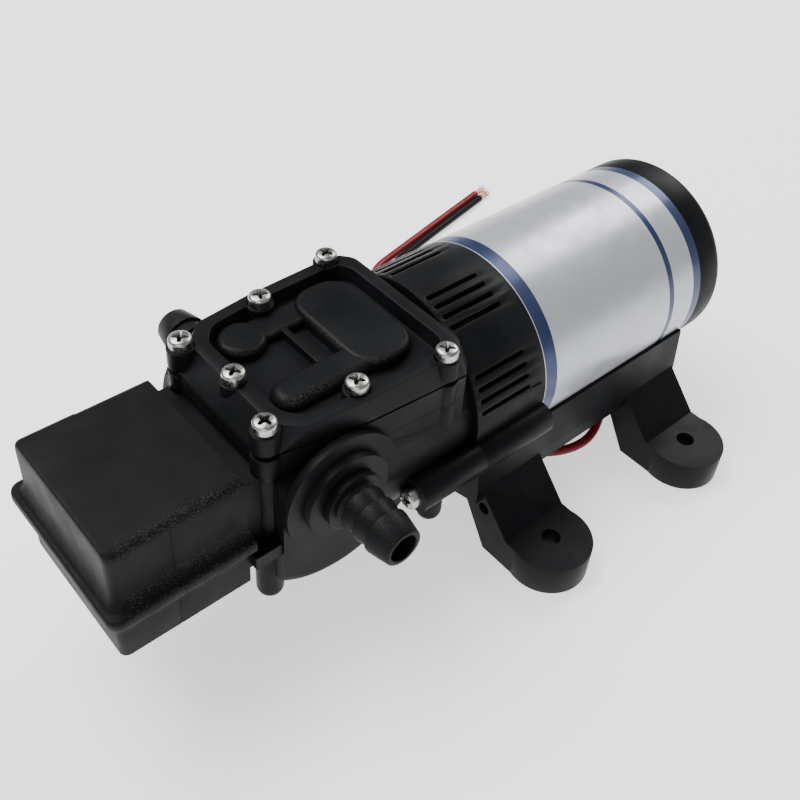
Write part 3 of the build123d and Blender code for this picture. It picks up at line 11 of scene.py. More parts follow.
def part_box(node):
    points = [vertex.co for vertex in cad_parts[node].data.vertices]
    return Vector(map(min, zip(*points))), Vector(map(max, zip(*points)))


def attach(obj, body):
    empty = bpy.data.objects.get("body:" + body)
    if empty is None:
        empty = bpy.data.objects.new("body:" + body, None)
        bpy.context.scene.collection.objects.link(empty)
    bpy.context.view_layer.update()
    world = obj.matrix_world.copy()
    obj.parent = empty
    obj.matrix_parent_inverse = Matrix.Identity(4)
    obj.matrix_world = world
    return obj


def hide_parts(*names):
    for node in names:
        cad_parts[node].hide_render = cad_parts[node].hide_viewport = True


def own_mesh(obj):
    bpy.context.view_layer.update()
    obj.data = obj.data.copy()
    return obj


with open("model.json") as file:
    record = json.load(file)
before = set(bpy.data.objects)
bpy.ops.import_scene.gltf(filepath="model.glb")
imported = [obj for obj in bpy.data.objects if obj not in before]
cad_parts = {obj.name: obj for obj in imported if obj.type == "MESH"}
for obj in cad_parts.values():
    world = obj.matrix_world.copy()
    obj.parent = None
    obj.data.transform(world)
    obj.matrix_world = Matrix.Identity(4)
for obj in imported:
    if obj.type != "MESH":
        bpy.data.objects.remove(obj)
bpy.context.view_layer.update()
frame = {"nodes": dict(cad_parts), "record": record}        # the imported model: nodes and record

# A twelve volt diaphragm water pump. Every place is in the row frame. Sizes named here are in
# millimetres unless their comment says otherwise, and MM turns them into metres. Other sizes
# come from the frame's boxes.

MM = 0.001
ROOT = "housing"


def mm(*values):
    """A point given in millimetres, as a vector in metres."""
    return Vector(values) * MM


# Camera: where it stands, where it looks and its lens, as fitted to the photograph

CAMERA_PLACE = mm(-155.78, -121.14, 192.70)
CAMERA_TURN_DEG = -44.45
CAMERA_TILT_DEG = -40.66
CAMERA_ROLL_DEG = 5.06
IMAGE_SIDE = 800
FOCAL_PIXELS = 1027.26
CENTRE_PIXEL = (410.46, 337.74)
SENSOR = 36.0
CLIP_START = 10.0


def make_camera():
    turn, tilt, roll = (radians(angle) for angle in (CAMERA_TURN_DEG, CAMERA_TILT_DEG, CAMERA_ROLL_DEG))
    forward = Vector((sin(-turn) * cos(tilt), cos(turn) * cos(tilt), sin(tilt)))
    level = forward.cross(Vector((0, 0, 1))).normalized()
    upright = level.cross(forward)
    right = level * cos(roll) + upright * sin(roll)
    up = upright * cos(roll) - level * sin(roll)
    data = bpy.data.cameras.new("camera")
    data.sensor_width = SENSOR
    data.lens = FOCAL_PIXELS * SENSOR / IMAGE_SIDE
    data.shift_x = (IMAGE_SIDE / 2 - CENTRE_PIXEL[0]) / IMAGE_SIDE
    data.shift_y = (CENTRE_PIXEL[1] - IMAGE_SIDE / 2) / IMAGE_SIDE
    data.clip_start = CLIP_START * MM
    camera = bpy.data.objects.new("camera", data)
    turned = Matrix((right, up, -forward)).transposed().to_4x4()
    camera.matrix_world = Matrix.Translation(CAMERA_PLACE) @ turned
    bpy.context.scene.collection.objects.link(camera)
    bpy.context.scene.camera = camera


# Pieces are meshes or curves whose points are already in the row frame

def add_object(name, data, slot):
    """Links a new piece, gives it its slot's material and lets it ride on the housing."""
    piece = bpy.data.objects.new(name, data)
    bpy.context.scene.collection.objects.link(piece)
    data.materials.append(FINISHES[slot])
    if isinstance(data, bpy.types.Mesh):
        data.shade_smooth()
    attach(piece, ROOT)
    return piece


def mesh_from(name, points, faces):
    """A mesh of points in metres, with its faces turned outwards."""
    mesh = bpy.data.meshes.new(name)
    mesh.from_pydata([tuple(point) for point in points], [], faces)
    mesh.validate()
    work = bmesh.new()
    work.from_mesh(mesh)
    bmesh.ops.recalc_face_normals(work, faces=work.faces)
    work.to_mesh(mesh)
    work.free()
    return mesh


def add_form(name, node, slot, solid, attribute, sharp_deg):
    """Adds a piece in place of a node. Its solid is points, faces and the attribute's values."""
    points, faces, values = solid
    mesh = mesh_from(name, points, faces)
    mesh.attributes.new(attribute, "FLOAT", "POINT").data.foreach_set("value", values)
    piece = add_object(name, mesh, slot)
    mesh.set_sharp_from_angle(angle=radians(sharp_deg))
    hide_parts(node)


def add_stack(solid, levels, open_side=False):
    """Adds a form to a solid from plans with equal counts. A level is a plan, a height and its values for pale
    specks, which are wear and painted glints.

    With open_side the wall from each plan's last point to its first is left out, and the
    points along that opening are returned in order.
    """
    points, faces, wear_and_glint = solid
    base, count = len(points), len(levels[0][0])
    for loop, z, worn in levels:
        points += [mm(x, y, z) for x, y in loop]
        wear_and_glint += worn
    starts = [base + level * count for level in range(len(levels))]
    for start in starts[:-1]:
        for n in range(count - 1 if open_side else count):
            following = (n + 1) % count
            faces.append((start + n, start + following, start + count + following, start + count + n))
    faces.append(tuple(reversed(range(base, base + count))))
    faces.append(tuple(range(starts[-1], starts[-1] + count)))
    return starts + [start + count - 1 for start in reversed(starts)]


# Materials: each is a node tree round one shader

# Noise lies mostly from 0.3 to 0.7. Each range is the stretch of it that counts as none to full
ALL_NOISE, CLOUDS, STREAKS = (0.3, 0.7), (0.35, 0.65), (0.35, 0.7)
DUST_SPOTS, GRIME_AND_SHADE_SPREAD = (0.75, 0.80), (0.1, 0.5)
PLASTIC_SPECKS, RUBBER_SPECKS = (0.52, 0.64), (0.54, 0.66)


class Finish:
    """A material being built: its shader, and nodes fed by the piece's own coordinates."""

    def __init__(self, name, colour, roughness, metallic=0.0, specular=0.5, coat=0.0, coat_roughness=0.1):
        self.material = bpy.data.materials.new(name)
        self.material.use_nodes = True
        self.tree = self.material.node_tree
        self.shader = self.tree.nodes["Principled BSDF"]
        self.shader.inputs["Base Color"].default_value = (*colour, 1)
        self.shader.inputs["Roughness"].default_value = roughness
        self.shader.inputs["Metallic"].default_value = metallic
        self.shader.inputs["Specular IOR Level"].default_value = specular
        self.shader.inputs["Coat Weight"].default_value = coat
        self.shader.inputs["Coat Roughness"].default_value = coat_roughness
        self.place = self.node("ShaderNodeTexCoord").outputs["Object"]
        self.relief = None

    def node(self, kind, **inputs):
        made = self.tree.nodes.new(kind)
        for name, value in inputs.items():
            made.inputs[name].default_value = value
        return made

    def link(self, output, target):
        self.tree.links.new(output, target)

    def noise(self, size, detail=2.0, stretch=(1, 1, 1)):
        """Noise whose lumps are about size millimetres, squeezed or drawn out along the axes."""
        mapping = self.node("ShaderNodeMapping", Scale=stretch)
        self.link(self.place, mapping.inputs["Vector"])
        texture = self.node("ShaderNodeTexNoise", Scale=1 / (size * MM), Detail=detail)
        self.link(mapping.outputs["Vector"], texture.inputs["Vector"])
        return texture.outputs["Fac"]

    def spread(self, value, between, to=(0, 1)):
        """Maps a value from one range to another and stops at its ends."""
        ends = {"From Min": between[0], "From Max": between[1], "To Min": to[0], "To Max": to[1]}
        ranged = self.node("ShaderNodeMapRange", **ends)
        self.link(value, ranged.inputs["Value"])
        return ranged.outputs["Result"]

    def mix(self, share, first, second):
        """A colour between two, each a triple or the output of a node."""
        mixed = self.node("ShaderNodeMix")
        mixed.data_type = "RGBA"
        self.link(share, mixed.inputs["Factor"])
        for socket, colour in (("A", first), ("B", second)):
            target = next(i for i in mixed.inputs if i.name == socket and i.type == "RGBA")
            if isinstance(colour, tuple):
                target.default_value = (*colour, 1)
            else:
                self.link(colour, target)
        return next(o for o in mixed.outputs if o.type == "RGBA")

    def worn(self, value, attribute="wear_and_glint"):
        """Multiplies a value by the piece's attribute, which is zero on pieces that have none."""
        share = self.node("ShaderNodeAttribute")
        share.attribute_name = attribute
        product = self.node("ShaderNodeMath")
        product.operation = "MULTIPLY"
        self.link(value, product.inputs[0])
        self.link(share.outputs["Fac"], product.inputs[1])
        return product.outputs["Value"]

    def colour(self, output):
        self.link(output, self.shader.inputs["Base Color"])

    def roughness(self, size, to):
        """Lets the roughness vary in a range, in clouds of about size millimetres."""
        self.link(self.spread(self.noise(size), ALL_NOISE, to), self.shader.inputs["Roughness"])

    def bump(self, value, depth):
        """Adds relief of that depth in millimetres on top of the relief there already."""
        bump = self.node("ShaderNodeBump", Strength=1.0, Distance=depth * MM)
        self.link(value, bump.inputs["Height"])
        if self.relief:
            self.link(self.relief, bump.inputs["Normal"])
        self.relief = bump.outputs["Normal"]
        self.link(self.relief, self.shader.inputs["Normal"])


BLACK_SPECULAR = 0.09
# The wear colours are pale specks on edges: wear, and painted glints
PLASTIC, PLASTIC_DUST, PLASTIC_WEAR_AND_GLINT = (0.006, 0.0065, 0.0075), (0.035, 0.035, 0.035), (0.055, 0.055, 0.054)
PLASTIC_DARK, PLASTIC_LIGHT = (0.0042, 0.0046, 0.0055), (0.0078, 0.0084, 0.0096)
RUBBER, RUBBER_WEAR_AND_GLINT = (0.006, 0.0065, 0.007), (0.045, 0.045, 0.044)
RUBBER_DARK, RUBBER_LIGHT = (0.0040, 0.0043, 0.0048), (0.0066, 0.0070, 0.0076)


def black_plastic():
    """Moulded plastic, clouded and dusty. It has pale specks where a piece's attribute is set: wear, and painted
    glints.
    """
    made = Finish("black_plastic", PLASTIC, 0.42, specular=BLACK_SPECULAR)
    mottle = made.mix(made.spread(made.noise(14), CLOUDS), PLASTIC_DARK, PLASTIC_LIGHT)
    dusty = made.mix(made.spread(made.noise(0.42, detail=1), DUST_SPOTS), mottle, PLASTIC_DUST)
    specks = made.worn(made.spread(made.noise(0.22, detail=1), PLASTIC_SPECKS))
    made.colour(made.mix(specks, dusty, PLASTIC_WEAR_AND_GLINT))
    made.roughness(9, (0.36, 0.5))
    made.bump(made.noise(11), 0.06)
    made.bump(made.noise(0.28), 0.012)
    return made.material


def boot_rubber():
    """Satin rubber. An attribute is set on its rounded edges, where the grain is coarse and there are pale
    specks: wear, and painted glints.
    """
    made = Finish("boot_rubber", RUBBER, 0.5, specular=BLACK_SPECULAR)
    specks = made.worn(made.spread(made.noise(0.24, detail=1), RUBBER_SPECKS))
    mottle = made.mix(made.spread(made.noise(10), CLOUDS), RUBBER_DARK, RUBBER_LIGHT)
    made.colour(made.mix(specks, mottle, RUBBER_WEAR_AND_GLINT))
    made.roughness(6, (0.44, 0.56))
    made.bump(made.noise(9), 0.08)
    made.bump(specks, 0.04)
    made.bump(made.noise(0.25), 0.012)
    return made.material


FOIL, FOIL_CLOUD, FOIL_CLOUD_SHARE = (0.50, 0.51, 0.55), (0.42, 0.43, 0.46), 0.08
BAND_BLUE = (0.016, 0.032, 0.100)
BAND_FRONT, BAND_REAR, THIN_LINE, THIN_LINE_FROM_REAR = 3.6, 3.0, 1.6, 12.3


def label():
    """Silvery foil with a blue band at each end and a thin blue line near the rear."""
    low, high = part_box("motor_label")
    line_start = high.x - THIN_LINE_FROM_REAR * MM
    bands = [(low.x, low.x + BAND_FRONT * MM), (line_start, line_start + THIN_LINE * MM),
             (high.x - BAND_REAR * MM, high.x)]
    made = Finish("label", FOIL, 0.36, metallic=0.45, specular=0.35, coat=0.08, coat_roughness=0.2)
    along = made.node("ShaderNodeSeparateXYZ")
    made.link(made.place, along.inputs["Vector"])
    ramp_node = made.node("ShaderNodeValToRGB")
    ramp = ramp_node.color_ramp
    ramp.interpolation = "CONSTANT"
    foil, blue = (*FOIL, 1), (*BAND_BLUE, 1)
    ramp.elements[0].color = foil
    ramp.elements.remove(ramp.elements[-1])
    for start, stop in bands:
        ramp.elements.new(max(0, (start - low.x) / (high.x - low.x))).color = blue
        if stop < high.x:
            ramp.elements.new((stop - low.x) / (high.x - low.x)).color = foil
    made.link(made.spread(along.outputs["X"], (low.x, high.x)), ramp_node.inputs["Fac"])
    cloud = made.spread(made.noise(16), ALL_NOISE, (0, FOIL_CLOUD_SHARE))
    made.colour(made.mix(cloud, ramp_node.outputs["Color"], FOIL_CLOUD))
    made.roughness(5, (0.28, 0.40))
    made.bump(made.noise(7), 0.03)
    return made.material


STREAK_SIZE, STREAK_DEPTH, STREAK_STRETCH = 0.15, 0.004, (1, 6, 1)


def metal(name, light, dark, roughness):
    """Bare or plated metal with fine streaks."""
    made = Finish(name, light, roughness, metallic=1.0)
    streaks = made.spread(made.noise(STREAK_SIZE, detail=3, stretch=STREAK_STRETCH), STREAKS)
    made.colour(made.mix(streaks, light, dark))
    made.roughness(0.8, (roughness * 0.8, roughness * 1.5))
    made.bump(made.noise(STREAK_SIZE), STREAK_DEPTH)
    return made.material


NICKEL, NICKEL_LIGHT, NICKEL_DARK = (0.45, 0.44, 0.41), (0.47, 0.455, 0.43), (0.34, 0.33, 0.31)
# Near black on the screws' recess floors: dirt, and painted shade
GRIME_AND_SHADE = (0.02, 0.019, 0.017)


def screw_metal():
    """Nickel plate. An attribute is one on each recess floor, which is darkened near black there: dirt, and
    painted shade.
    """
    made = Finish("screw_nickel", NICKEL, 0.27, metallic=1.0)
    plate = made.mix(made.spread(made.noise(0.6, detail=3), STREAKS), NICKEL_LIGHT, NICKEL_DARK)
    dirt_and_shade = made.worn(made.spread(made.noise(0.5), GRIME_AND_SHADE_SPREAD, (0.85, 1)), "grime_and_shade")
    made.colour(made.mix(dirt_and_shade, plate, GRIME_AND_SHADE))
    made.roughness(0.8, (0.2, 0.36))
    made.bump(made.noise(0.5), 0.008)
    return made.material


GRAIN_SIZE, GRAIN_DEPTH = 0.3, 0.01


def plain(name, light, dark, roughness, size=2.0, specular=0.5):
    """A plastic, rubber or sintered piece with a cloudy colour and a fine grain."""
    made = Finish(name, light, roughness, specular=specular)
    made.colour(made.mix(made.spread(made.noise(size), ALL_NOISE), light, dark))
    made.roughness(size, (roughness * 0.85, roughness * 1.15))
    made.bump(made.noise(GRAIN_SIZE), GRAIN_DEPTH)
    return made.material


FINISHES = {
    "black_plastic": black_plastic(),
    "boot_rubber": boot_rubber(),
    "label": label(),
    "can_steel": metal("can_steel", (0.55, 0.56, 0.57), (0.42, 0.43, 0.44), 0.35),
    "screw_nickel": screw_metal(),
    "steel": metal("steel", (0.58, 0.58, 0.59), (0.45, 0.45, 0.46), 0.28),
    "magnet": plain("magnet", (0.07, 0.07, 0.075), (0.05, 0.05, 0.052), 0.7),
    "copper": metal("copper", (0.78, 0.45, 0.30), (0.55, 0.30, 0.20), 0.35),
    "brass": metal("brass", (0.72, 0.58, 0.30), (0.58, 0.44, 0.20), 0.32),
    "carbon": plain("carbon", (0.04, 0.04, 0.04), (0.03, 0.03, 0.03), 0.6),
    "inner_plastic": plain("inner_plastic", (0.72, 0.71, 0.66), (0.66, 0.65, 0.60), 0.45),
    "seal_rubber": plain("seal_rubber", (0.03, 0.03, 0.032), (0.022, 0.022, 0.024), 0.6),
    "red_pvc": plain("red_pvc", (0.22, 0.007, 0.013), (0.16, 0.005, 0.009), 0.42, size=4.0, specular=0.3),
    "black_pvc": plain("black_pvc", (0.006, 0.006, 0.0065), (0.004, 0.004, 0.0045), 0.42, size=4.0,
                       specular=0.1),
}


# CAD nodes: each takes its slot's material, and the moulded and turned ones get soft edges

EDGE = {"black_plastic": 0.28, "screw_nickel": 0.08, "can_steel": 0.2, "steel": 0.1, "brass": 0.1,
        "inner_plastic": 0.15}
EDGE_SEGMENTS = 2
EDGE_SHARP_DEG = 32
WELD_REACH = 0.002


def dress_nodes():
    slots = {part["node"]: part["material_slot"] for part in frame["record"]["subparts"]}
    for name, node in frame["nodes"].items():
        slot = slots[name]
        node.data.materials.clear()
        node.data.materials.append(FINISHES[slot])
        if slot in EDGE:
            weld = node.modifiers.new("weld", "WELD")
            weld.merge_threshold = WELD_REACH * MM
            bevel = node.modifiers.new("edges", "BEVEL")
            bevel.width = EDGE[slot] * MM
            bevel.segments = EDGE_SEGMENTS
            bevel.limit_method = "ANGLE"
            bevel.angle_limit = radians(EDGE_SHARP_DEG)
            bevel.use_clamp_overlap = True


# Rubber boot: a stack of rings round the pressure switch, hollow and open towards the neck

BOOT_SEAM_X = -106.6
SEAM_HALF_W, SEAM_DEPTH, SEAM_STEP = 0.16, 0.14, 0.22
BLOCK_CORNER, LIP_CORNER_GAIN, LEAST_CORNER = 1.7, 0.3, 0.4
# Height, how far the ring stands out from the block, and how many pale specks the edge has there: wear, and
# painted glints
BOOT_RINGS = [(24.2, -5.0, 0.0), (24.2, -0.6, 0.0), (24.25, -0.3, 0.3), (24.4, -0.1, 0.4), (24.7, 0.0, 0.0),
              (31.0, 0.1, 0.0), (35.4, 0.25, 0.0), (36.1, 0.6, 0.0), (36.4, 1.3, 0.0), (36.5, 2.3, 0.1),
              (36.75, 2.8, 0.2), (37.2, 3.0, 0.0), (38.2, 3.0, 0.0), (38.9, 2.9, 0.6), (39.2, 2.65, 1.0),
              (39.3, 2.3, 0.8), (39.35, 1.9, 0.4), (39.5, 1.45, 0.8), (39.9, 0.95, 1.0), (40.6, 0.5, 0.9),
              (41.6, 0.2, 0.6), (43.0, 0.05, 0.1), (46.0, 0.0, 0.0), (50.8, -0.02, 0.0),
              (51.9, -0.1, 0.5), (52.6, -0.4, 1.0), (53.0, -0.85, 1.0), (53.22, -1.5, 0.7),
              (53.28, -2.6, 0.3), (53.3, -5.0, 0.0)]
# Shares of the edges' rounding, of the lip and of the pale specks, wear and painted glints, that the far end has
END_EDGE, END_LIP, END_WEAR_AND_GLINT = 0.2, 0.75, 0.25
BOOT_WALL, BOOT_FLOOR = 2.4, 1.6
CORNER_STEPS, SIDE_STEPS = 8, 6
BOOT_SHARP_DEG = 50


def boot_ring(half_w, left_x, right_x, corner):
    """The plan of one ring: from the neck along -Y, round the far end and back along +Y."""
    seam = BOOT_SEAM_X
    side_x = [right_x + (seam - right_x) * n / SIDE_STEPS for n in range(SIDE_STEPS)]
    side_x += [seam + SEAM_HALF_W, seam, seam - SEAM_HALF_W]
    side_x += [seam + (left_x + corner - seam) * n / SIDE_STEPS for n in range(1, SIDE_STEPS)]
    near = [(x, -half_w + (SEAM_DEPTH if x == seam else 0)) for x in side_x]
    turns = [pi / 2 * n / CORNER_STEPS for n in range(CORNER_STEPS + 1)]
    near += [(left_x + corner - corner * sin(turn), -half_w + corner - corner * cos(turn)) for turn in turns]
    far = [(x, -y - (SEAM_STEP if x > seam else 0)) for x, y in reversed(near)]
    return near + far


def make_boot():
    low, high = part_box("rubber_boot")
    right_x = high.x / MM
    lip = max(out for _, out, _ in BOOT_RINGS)
    left_x = low.x / MM + lip * END_LIP
    half_w = high.y / MM - lip
    points, faces, wear_and_glint = [], [], []
    solid = points, faces, wear_and_glint
    levels = []
    for z, out, worn in BOOT_RINGS:
        corner = max(LEAST_CORNER, BLOCK_CORNER + LIP_CORNER_GAIN * out)
        end_out = out * (END_LIP if out > 0 else END_EDGE)
        ring = boot_ring(half_w + out, left_x - end_out, right_x, corner)
        # The -Y side has the pale specks of wear and painted glints in full, the far end and the +Y side less
        shares = [1 if y < -half_w / 2 and x > left_x + BLOCK_CORNER else END_WEAR_AND_GLINT for x, y in ring]
        levels.append((ring, z, [worn * share for share in shares]))
    mouth = add_stack(solid, levels, open_side=True)
    ring = boot_ring(half_w - BOOT_WALL, left_x + BOOT_WALL, right_x, LEAST_CORNER)
    hollow = [(ring, z, [0.0] * len(ring)) for z in (low.z / MM + BOOT_FLOOR, high.z / MM - BOOT_WALL)]
    mouths = (mouth, add_stack(solid, hollow, open_side=True))
    loops = [[Vector((points[n].y, points[n].z, 0)) / MM for n in ends] for ends in mouths]
    both = mouths[0] + mouths[1]
    faces += [tuple(both[n] for n in triple) for triple in tessellate_polygon(loops)]
    add_form("boot_cover", "rubber_boot", "boot_rubber", solid, "wear_and_glint", BOOT_SHARP_DEG)


# Top cover: a rim round a recess, with posts, raised chambers and a rib

COVER_TOP_Z, COVER_MIDDLE_X, COVER_REACH = 60.0, -61.4, 20.0
COVER_BASE = [(-38.5, 18.5), (-41.6, 21.6), (-65.1, 20.0), (-83.4, 16.35), (-86.5, 13.25)]
COVER_BROW = [(-39.6, 16.8), (-42.6, 20.1), (-65.1, 19.6), (-78.6, 18.2), (-83.2, 13.6)]
COVER_WELL = [(-42.8, 14.4), (-45.2, 17.0), (-65.1, 16.6), (-76.6, 15.5), (-79.8, 11.9)]
# Outline, how far it is pulled in, its height and its corners' radius
COVER_RINGS = [(COVER_BASE, 0.0, 54.7, 0.8), (COVER_BROW, 0.0, 59.6, 1.6), (COVER_BROW, 0.1, 59.88, 1.6),
               (COVER_BROW, 0.4, 60.0, 1.6), (COVER_WELL, -0.35, 60.0, 1.6), (COVER_WELL, -0.1, 59.9, 1.6),
               (COVER_WELL, 0.0, 59.65, 1.6), (COVER_WELL, 0.3, 57.1, 1.6), (COVER_WELL, 0.5, 56.7, 1.6),
               (COVER_WELL, 1.0, 56.6, 1.6)]
COVER_FOOT_Z = 55.5
# Middle X and Y, half sizes, corner radius, top and edge radius of each raised form
CHAMBERS = [(-52.7, 1.3, 7.4, 13.8, 6.2, 59.6, 1.3), (-73.2, 10.2, 5.1, 5.1, 5.1, 59.1, 1.4),
            (-65.2, -7.6, 13.2, 3.9, 3.85, 59.35, 2.2), (-64.5, 10.8, 9.0, 3.3, 0.6, 58.75, 1.1),
            (-64.9, 1.0, 0.7, 8.0, 0.3, 58.5, 0.25)]
POST_R, POST_EDGE = 2.9, 0.25
ARC_STEPS, EDGE_STEPS, LEAST_ROUND = 7, 5, 0.05
# How much each axis counts in what faces the near corner, and how quickly the pale specks fade there: rubbing,
# and painted glints
RUB_AND_GLINT_AXIS_SHARE, RUB_AND_GLINT_POWER = 0.7, 4
COVER_SHARP_DEG = 40


def rounded_loop(half, pull, corner):
    """A closed plan from its +Y half, pulled in towards its middle, with rounded corners."""
    outline = [Vector(point) for point in half] + [Vector((x, -y)) for x, y in reversed(half)]
    middle = Vector((COVER_MIDDLE_X, 0))
    outline = [middle + (point - middle) * (1 - pull / COVER_REACH) for point in outline]
    loop = []
    for n, point in enumerate(outline):
        before, after = outline[n - 1] - point, outline[(n + 1) % len(outline)] - point
        start, stop = point + before.normalized() * corner, point + after.normalized() * corner
        for step in range(ARC_STEPS):
            share = step / (ARC_STEPS - 1)
            loop.append(start * (1 - share) ** 2 + point * 2 * share * (1 - share) + stop * share ** 2)
    return [(point.x, point.y) for point in loop]


def rounded_box(x, y, half_x, half_y, corner, pull):
    """The plan of a rounded rectangle, pulled in on all sides."""
    half_x, half_y, corner = half_x - pull, half_y - pull, max(corner - pull, LEAST_ROUND)
    loop = []
    for quarter, (side_x, side_y) in enumerate(((1, 1), (-1, 1), (-1, -1), (1, -1))):
        for step in range(ARC_STEPS):
            turn = pi / 2 * (quarter + step / (ARC_STEPS - 1))
            loop.append((x + side_x * (half_x - corner) + corner * cos(turn),
                         y + side_y * (half_y - corner) + corner * sin(turn)))
    return loop


def add_raised(solid, x, y, half_x, half_y, corner, top, edge, rub_and_glint=1.0):
    """A raised form with a rounded top edge, with pale specks where it faces the near corner: rubbing, and
    painted glints.
    """
    turns = [pi / 2 * n / EDGE_STEPS for n in range(EDGE_STEPS + 1)]
    steps = [(0.0, COVER_FOOT_Z, 0.0)]
    steps += [(edge * (1 - cos(turn)), top - edge * (1 - sin(turn)), sin(2 * turn)) for turn in turns]
    levels = []
    for pull, z, share in steps:
        loop = rounded_box(x, y, half_x, half_y, corner, pull)
        facing = [max(0, -RUB_AND_GLINT_AXIS_SHARE * (u - x) / half_x - RUB_AND_GLINT_AXIS_SHARE * (v - y) / half_y)
                  for u, v in loop]
        levels.append((loop, z, [rub_and_glint * share * min(1, way ** RUB_AND_GLINT_POWER) for way in facing]))
    add_stack(solid, levels)


def make_cover():
    solid = ([], [], [])
    rings = [(rounded_loop(half, pull, corner), z) for half, pull, z, corner in COVER_RINGS]
    add_stack(solid, [(loop, z, [0.0] * len(loop)) for loop, z in rings])
    for chamber in CHAMBERS:
        add_raised(solid, *chamber)
    for x, y, _ in COVER_SCREWS:
        add_raised(solid, x, y, POST_R, POST_R, POST_R, COVER_TOP_Z, POST_EDGE, rub_and_glint=0.0)
    add_form("top_cover_shell", "top_cover", "black_plastic", solid, "wear_and_glint", COVER_SHARP_DEG)


# Hose barbs: turned forms with three ridges. Each point is a radius and a distance from the middle plane

BARB_ROOT = [(3.0, 19.35), (4.6, 19.35), (4.6, 23.8), (6.4, 23.8), (6.4, 25.45), (6.2, 25.65), (4.7, 25.7),
             (4.5, 25.9)]
BARB_TIP = [(3.95, 39.4), (3.7, 39.49), (3.2, 39.49), (3.0, 39.3)]
# Start and end of each ridge, and its radius at the end
BARB_RIDGES = [(27.1, 30.5, 4.3), (30.5, 34.0, 4.3), (34.0, 39.2, 4.1)]
# Radii at the foot and top of a ridge, and how far from its start the top begins and ends
RIDGE_FOOT_R, RIDGE_R, RIDGE_RISE, RIDGE_LAND = 4.2, 5.0, 0.05, 0.7
# The pale specks at their strongest, which way they face, how quickly they fade and the radius they begin beyond:
# wear, and painted glints
BARB_WEAR_AND_GLINT, BARB_WEAR_AND_GLINT_DEG, BARB_WEAR_AND_GLINT_POWER, BARB_WEAR_AND_GLINT_R = 0.4, 105, 3, 4.3
BARB_TURN = 48
TURNED_SHARP_DEG = 35


def make_barb(node, side):
    low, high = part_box(node)
    middle = (low + high) / (2 * MM)
    profile = list(BARB_ROOT)
    for start, stop, slim in BARB_RIDGES:
        profile += [(RIDGE_FOOT_R, start), (RIDGE_R, start + RIDGE_RISE), (RIDGE_R, start + RIDGE_LAND),
                    (slim, stop)]
    profile += BARB_TIP
    points, faces, wear_and_glint = [], [], []
    for radius, y in profile:
        for n in range(BARB_TURN):
            turn = 2 * pi * n / BARB_TURN
            points.append(mm(middle.x + radius * cos(turn), side * y, middle.z + radius * sin(turn)))
            # Pale specks on the ridges' upper side: wear, and painted glints
            facing = max(0, cos(turn - radians(BARB_WEAR_AND_GLINT_DEG))) ** BARB_WEAR_AND_GLINT_POWER
            wear_and_glint.append(BARB_WEAR_AND_GLINT * facing if BARB_WEAR_AND_GLINT_R < radius <= RIDGE_R else 0.0)
    for ring in range(len(profile)):
        following = (ring + 1) % len(profile)
        for n in range(BARB_TURN):
            beside = (n + 1) % BARB_TURN
            faces.append((ring * BARB_TURN + n, ring * BARB_TURN + beside,
                          following * BARB_TURN + beside, following * BARB_TURN + n))
    solid = points, faces, wear_and_glint
    add_form(f"{node}_ridged", node, "black_plastic", solid, "wear_and_glint", TURNED_SHARP_DEG)


# Screw heads: domed, with a tapered cross recess

HEAD_R, HEAD_H, HEAD_TURN = 2.4, 2.4, 40
# Radius and height of the rings from the seat up to the domed top
HEAD_PROFILE = [(HEAD_R, 0.0), (HEAD_R, 1.5), (2.34, 1.78), (2.18, 2.02), (1.96, 2.17), (1.72, 2.26)]
DOME_FALL = 0.14
ARM = [(0.5, -0.5), (1.0, -0.42), (1.6, -0.28), (1.6, 0.28), (1.0, 0.42)]
ARM_COUNT = 4
RECESS_DEPTH, RECESS_TAPER = 1.35, 0.5
# X, Y and turn in degrees
COVER_SCREWS = [(-45.5, 19.2, 20), (-45.5, -19.2, 42), (-65.1, 15.7, 65), (-65.1, -15.7, 38),
                (-84.7, 13.95, 50), (-84.7, -13.95, 12), (-81.9, 0.0, 33)]
TIE_SCREW_TURNS_DEG = (25, 60)


def head_shape():
    """Points and faces of one head that stands on zero and faces up."""
    points, faces = [], []
    circle = [2 * pi * n / HEAD_TURN for n in range(HEAD_TURN)]
    for radius, height in HEAD_PROFILE:
        points += [(radius * cos(turn), radius * sin(turn), height) for turn in circle]
    for level in range(len(HEAD_PROFILE) - 1):
        for n in range(HEAD_TURN):
            first, second = level * HEAD_TURN + n, level * HEAD_TURN + (n + 1) % HEAD_TURN
            faces.append((first, second, second + HEAD_TURN, first + HEAD_TURN))
    faces.append(tuple(reversed(range(HEAD_TURN))))
    cross = []
    for u, v in ARM + [(-v, u) for u, v in ARM] + [(-u, -v) for u, v in ARM] + [(v, -u) for u, v in ARM]:
        cross.append((u, v, HEAD_H - DOME_FALL * (u * u + v * v) / HEAD_PROFILE[-1][0] ** 2))
    rim, top = len(points) - HEAD_TURN, len(points)
    rim_points = points[rim:]
    points += cross + [(u * RECESS_TAPER, v * RECESS_TAPER, HEAD_H - RECESS_DEPTH) for u, v, _ in cross]
    loops = [[Vector((u, v, 0)) for u, v, _ in loop] for loop in (rim_points, cross)]
    faces += [tuple(rim + n for n in triple) for triple in tessellate_polygon(loops)]
    for n in range(len(cross)):
        first, second = top + n, top + (n + 1) % len(cross)
        faces.append((first, second, second + len(cross), first + len(cross)))
    faces.append(tuple(range(top + len(cross), top + 2 * len(cross))))
    return points, faces


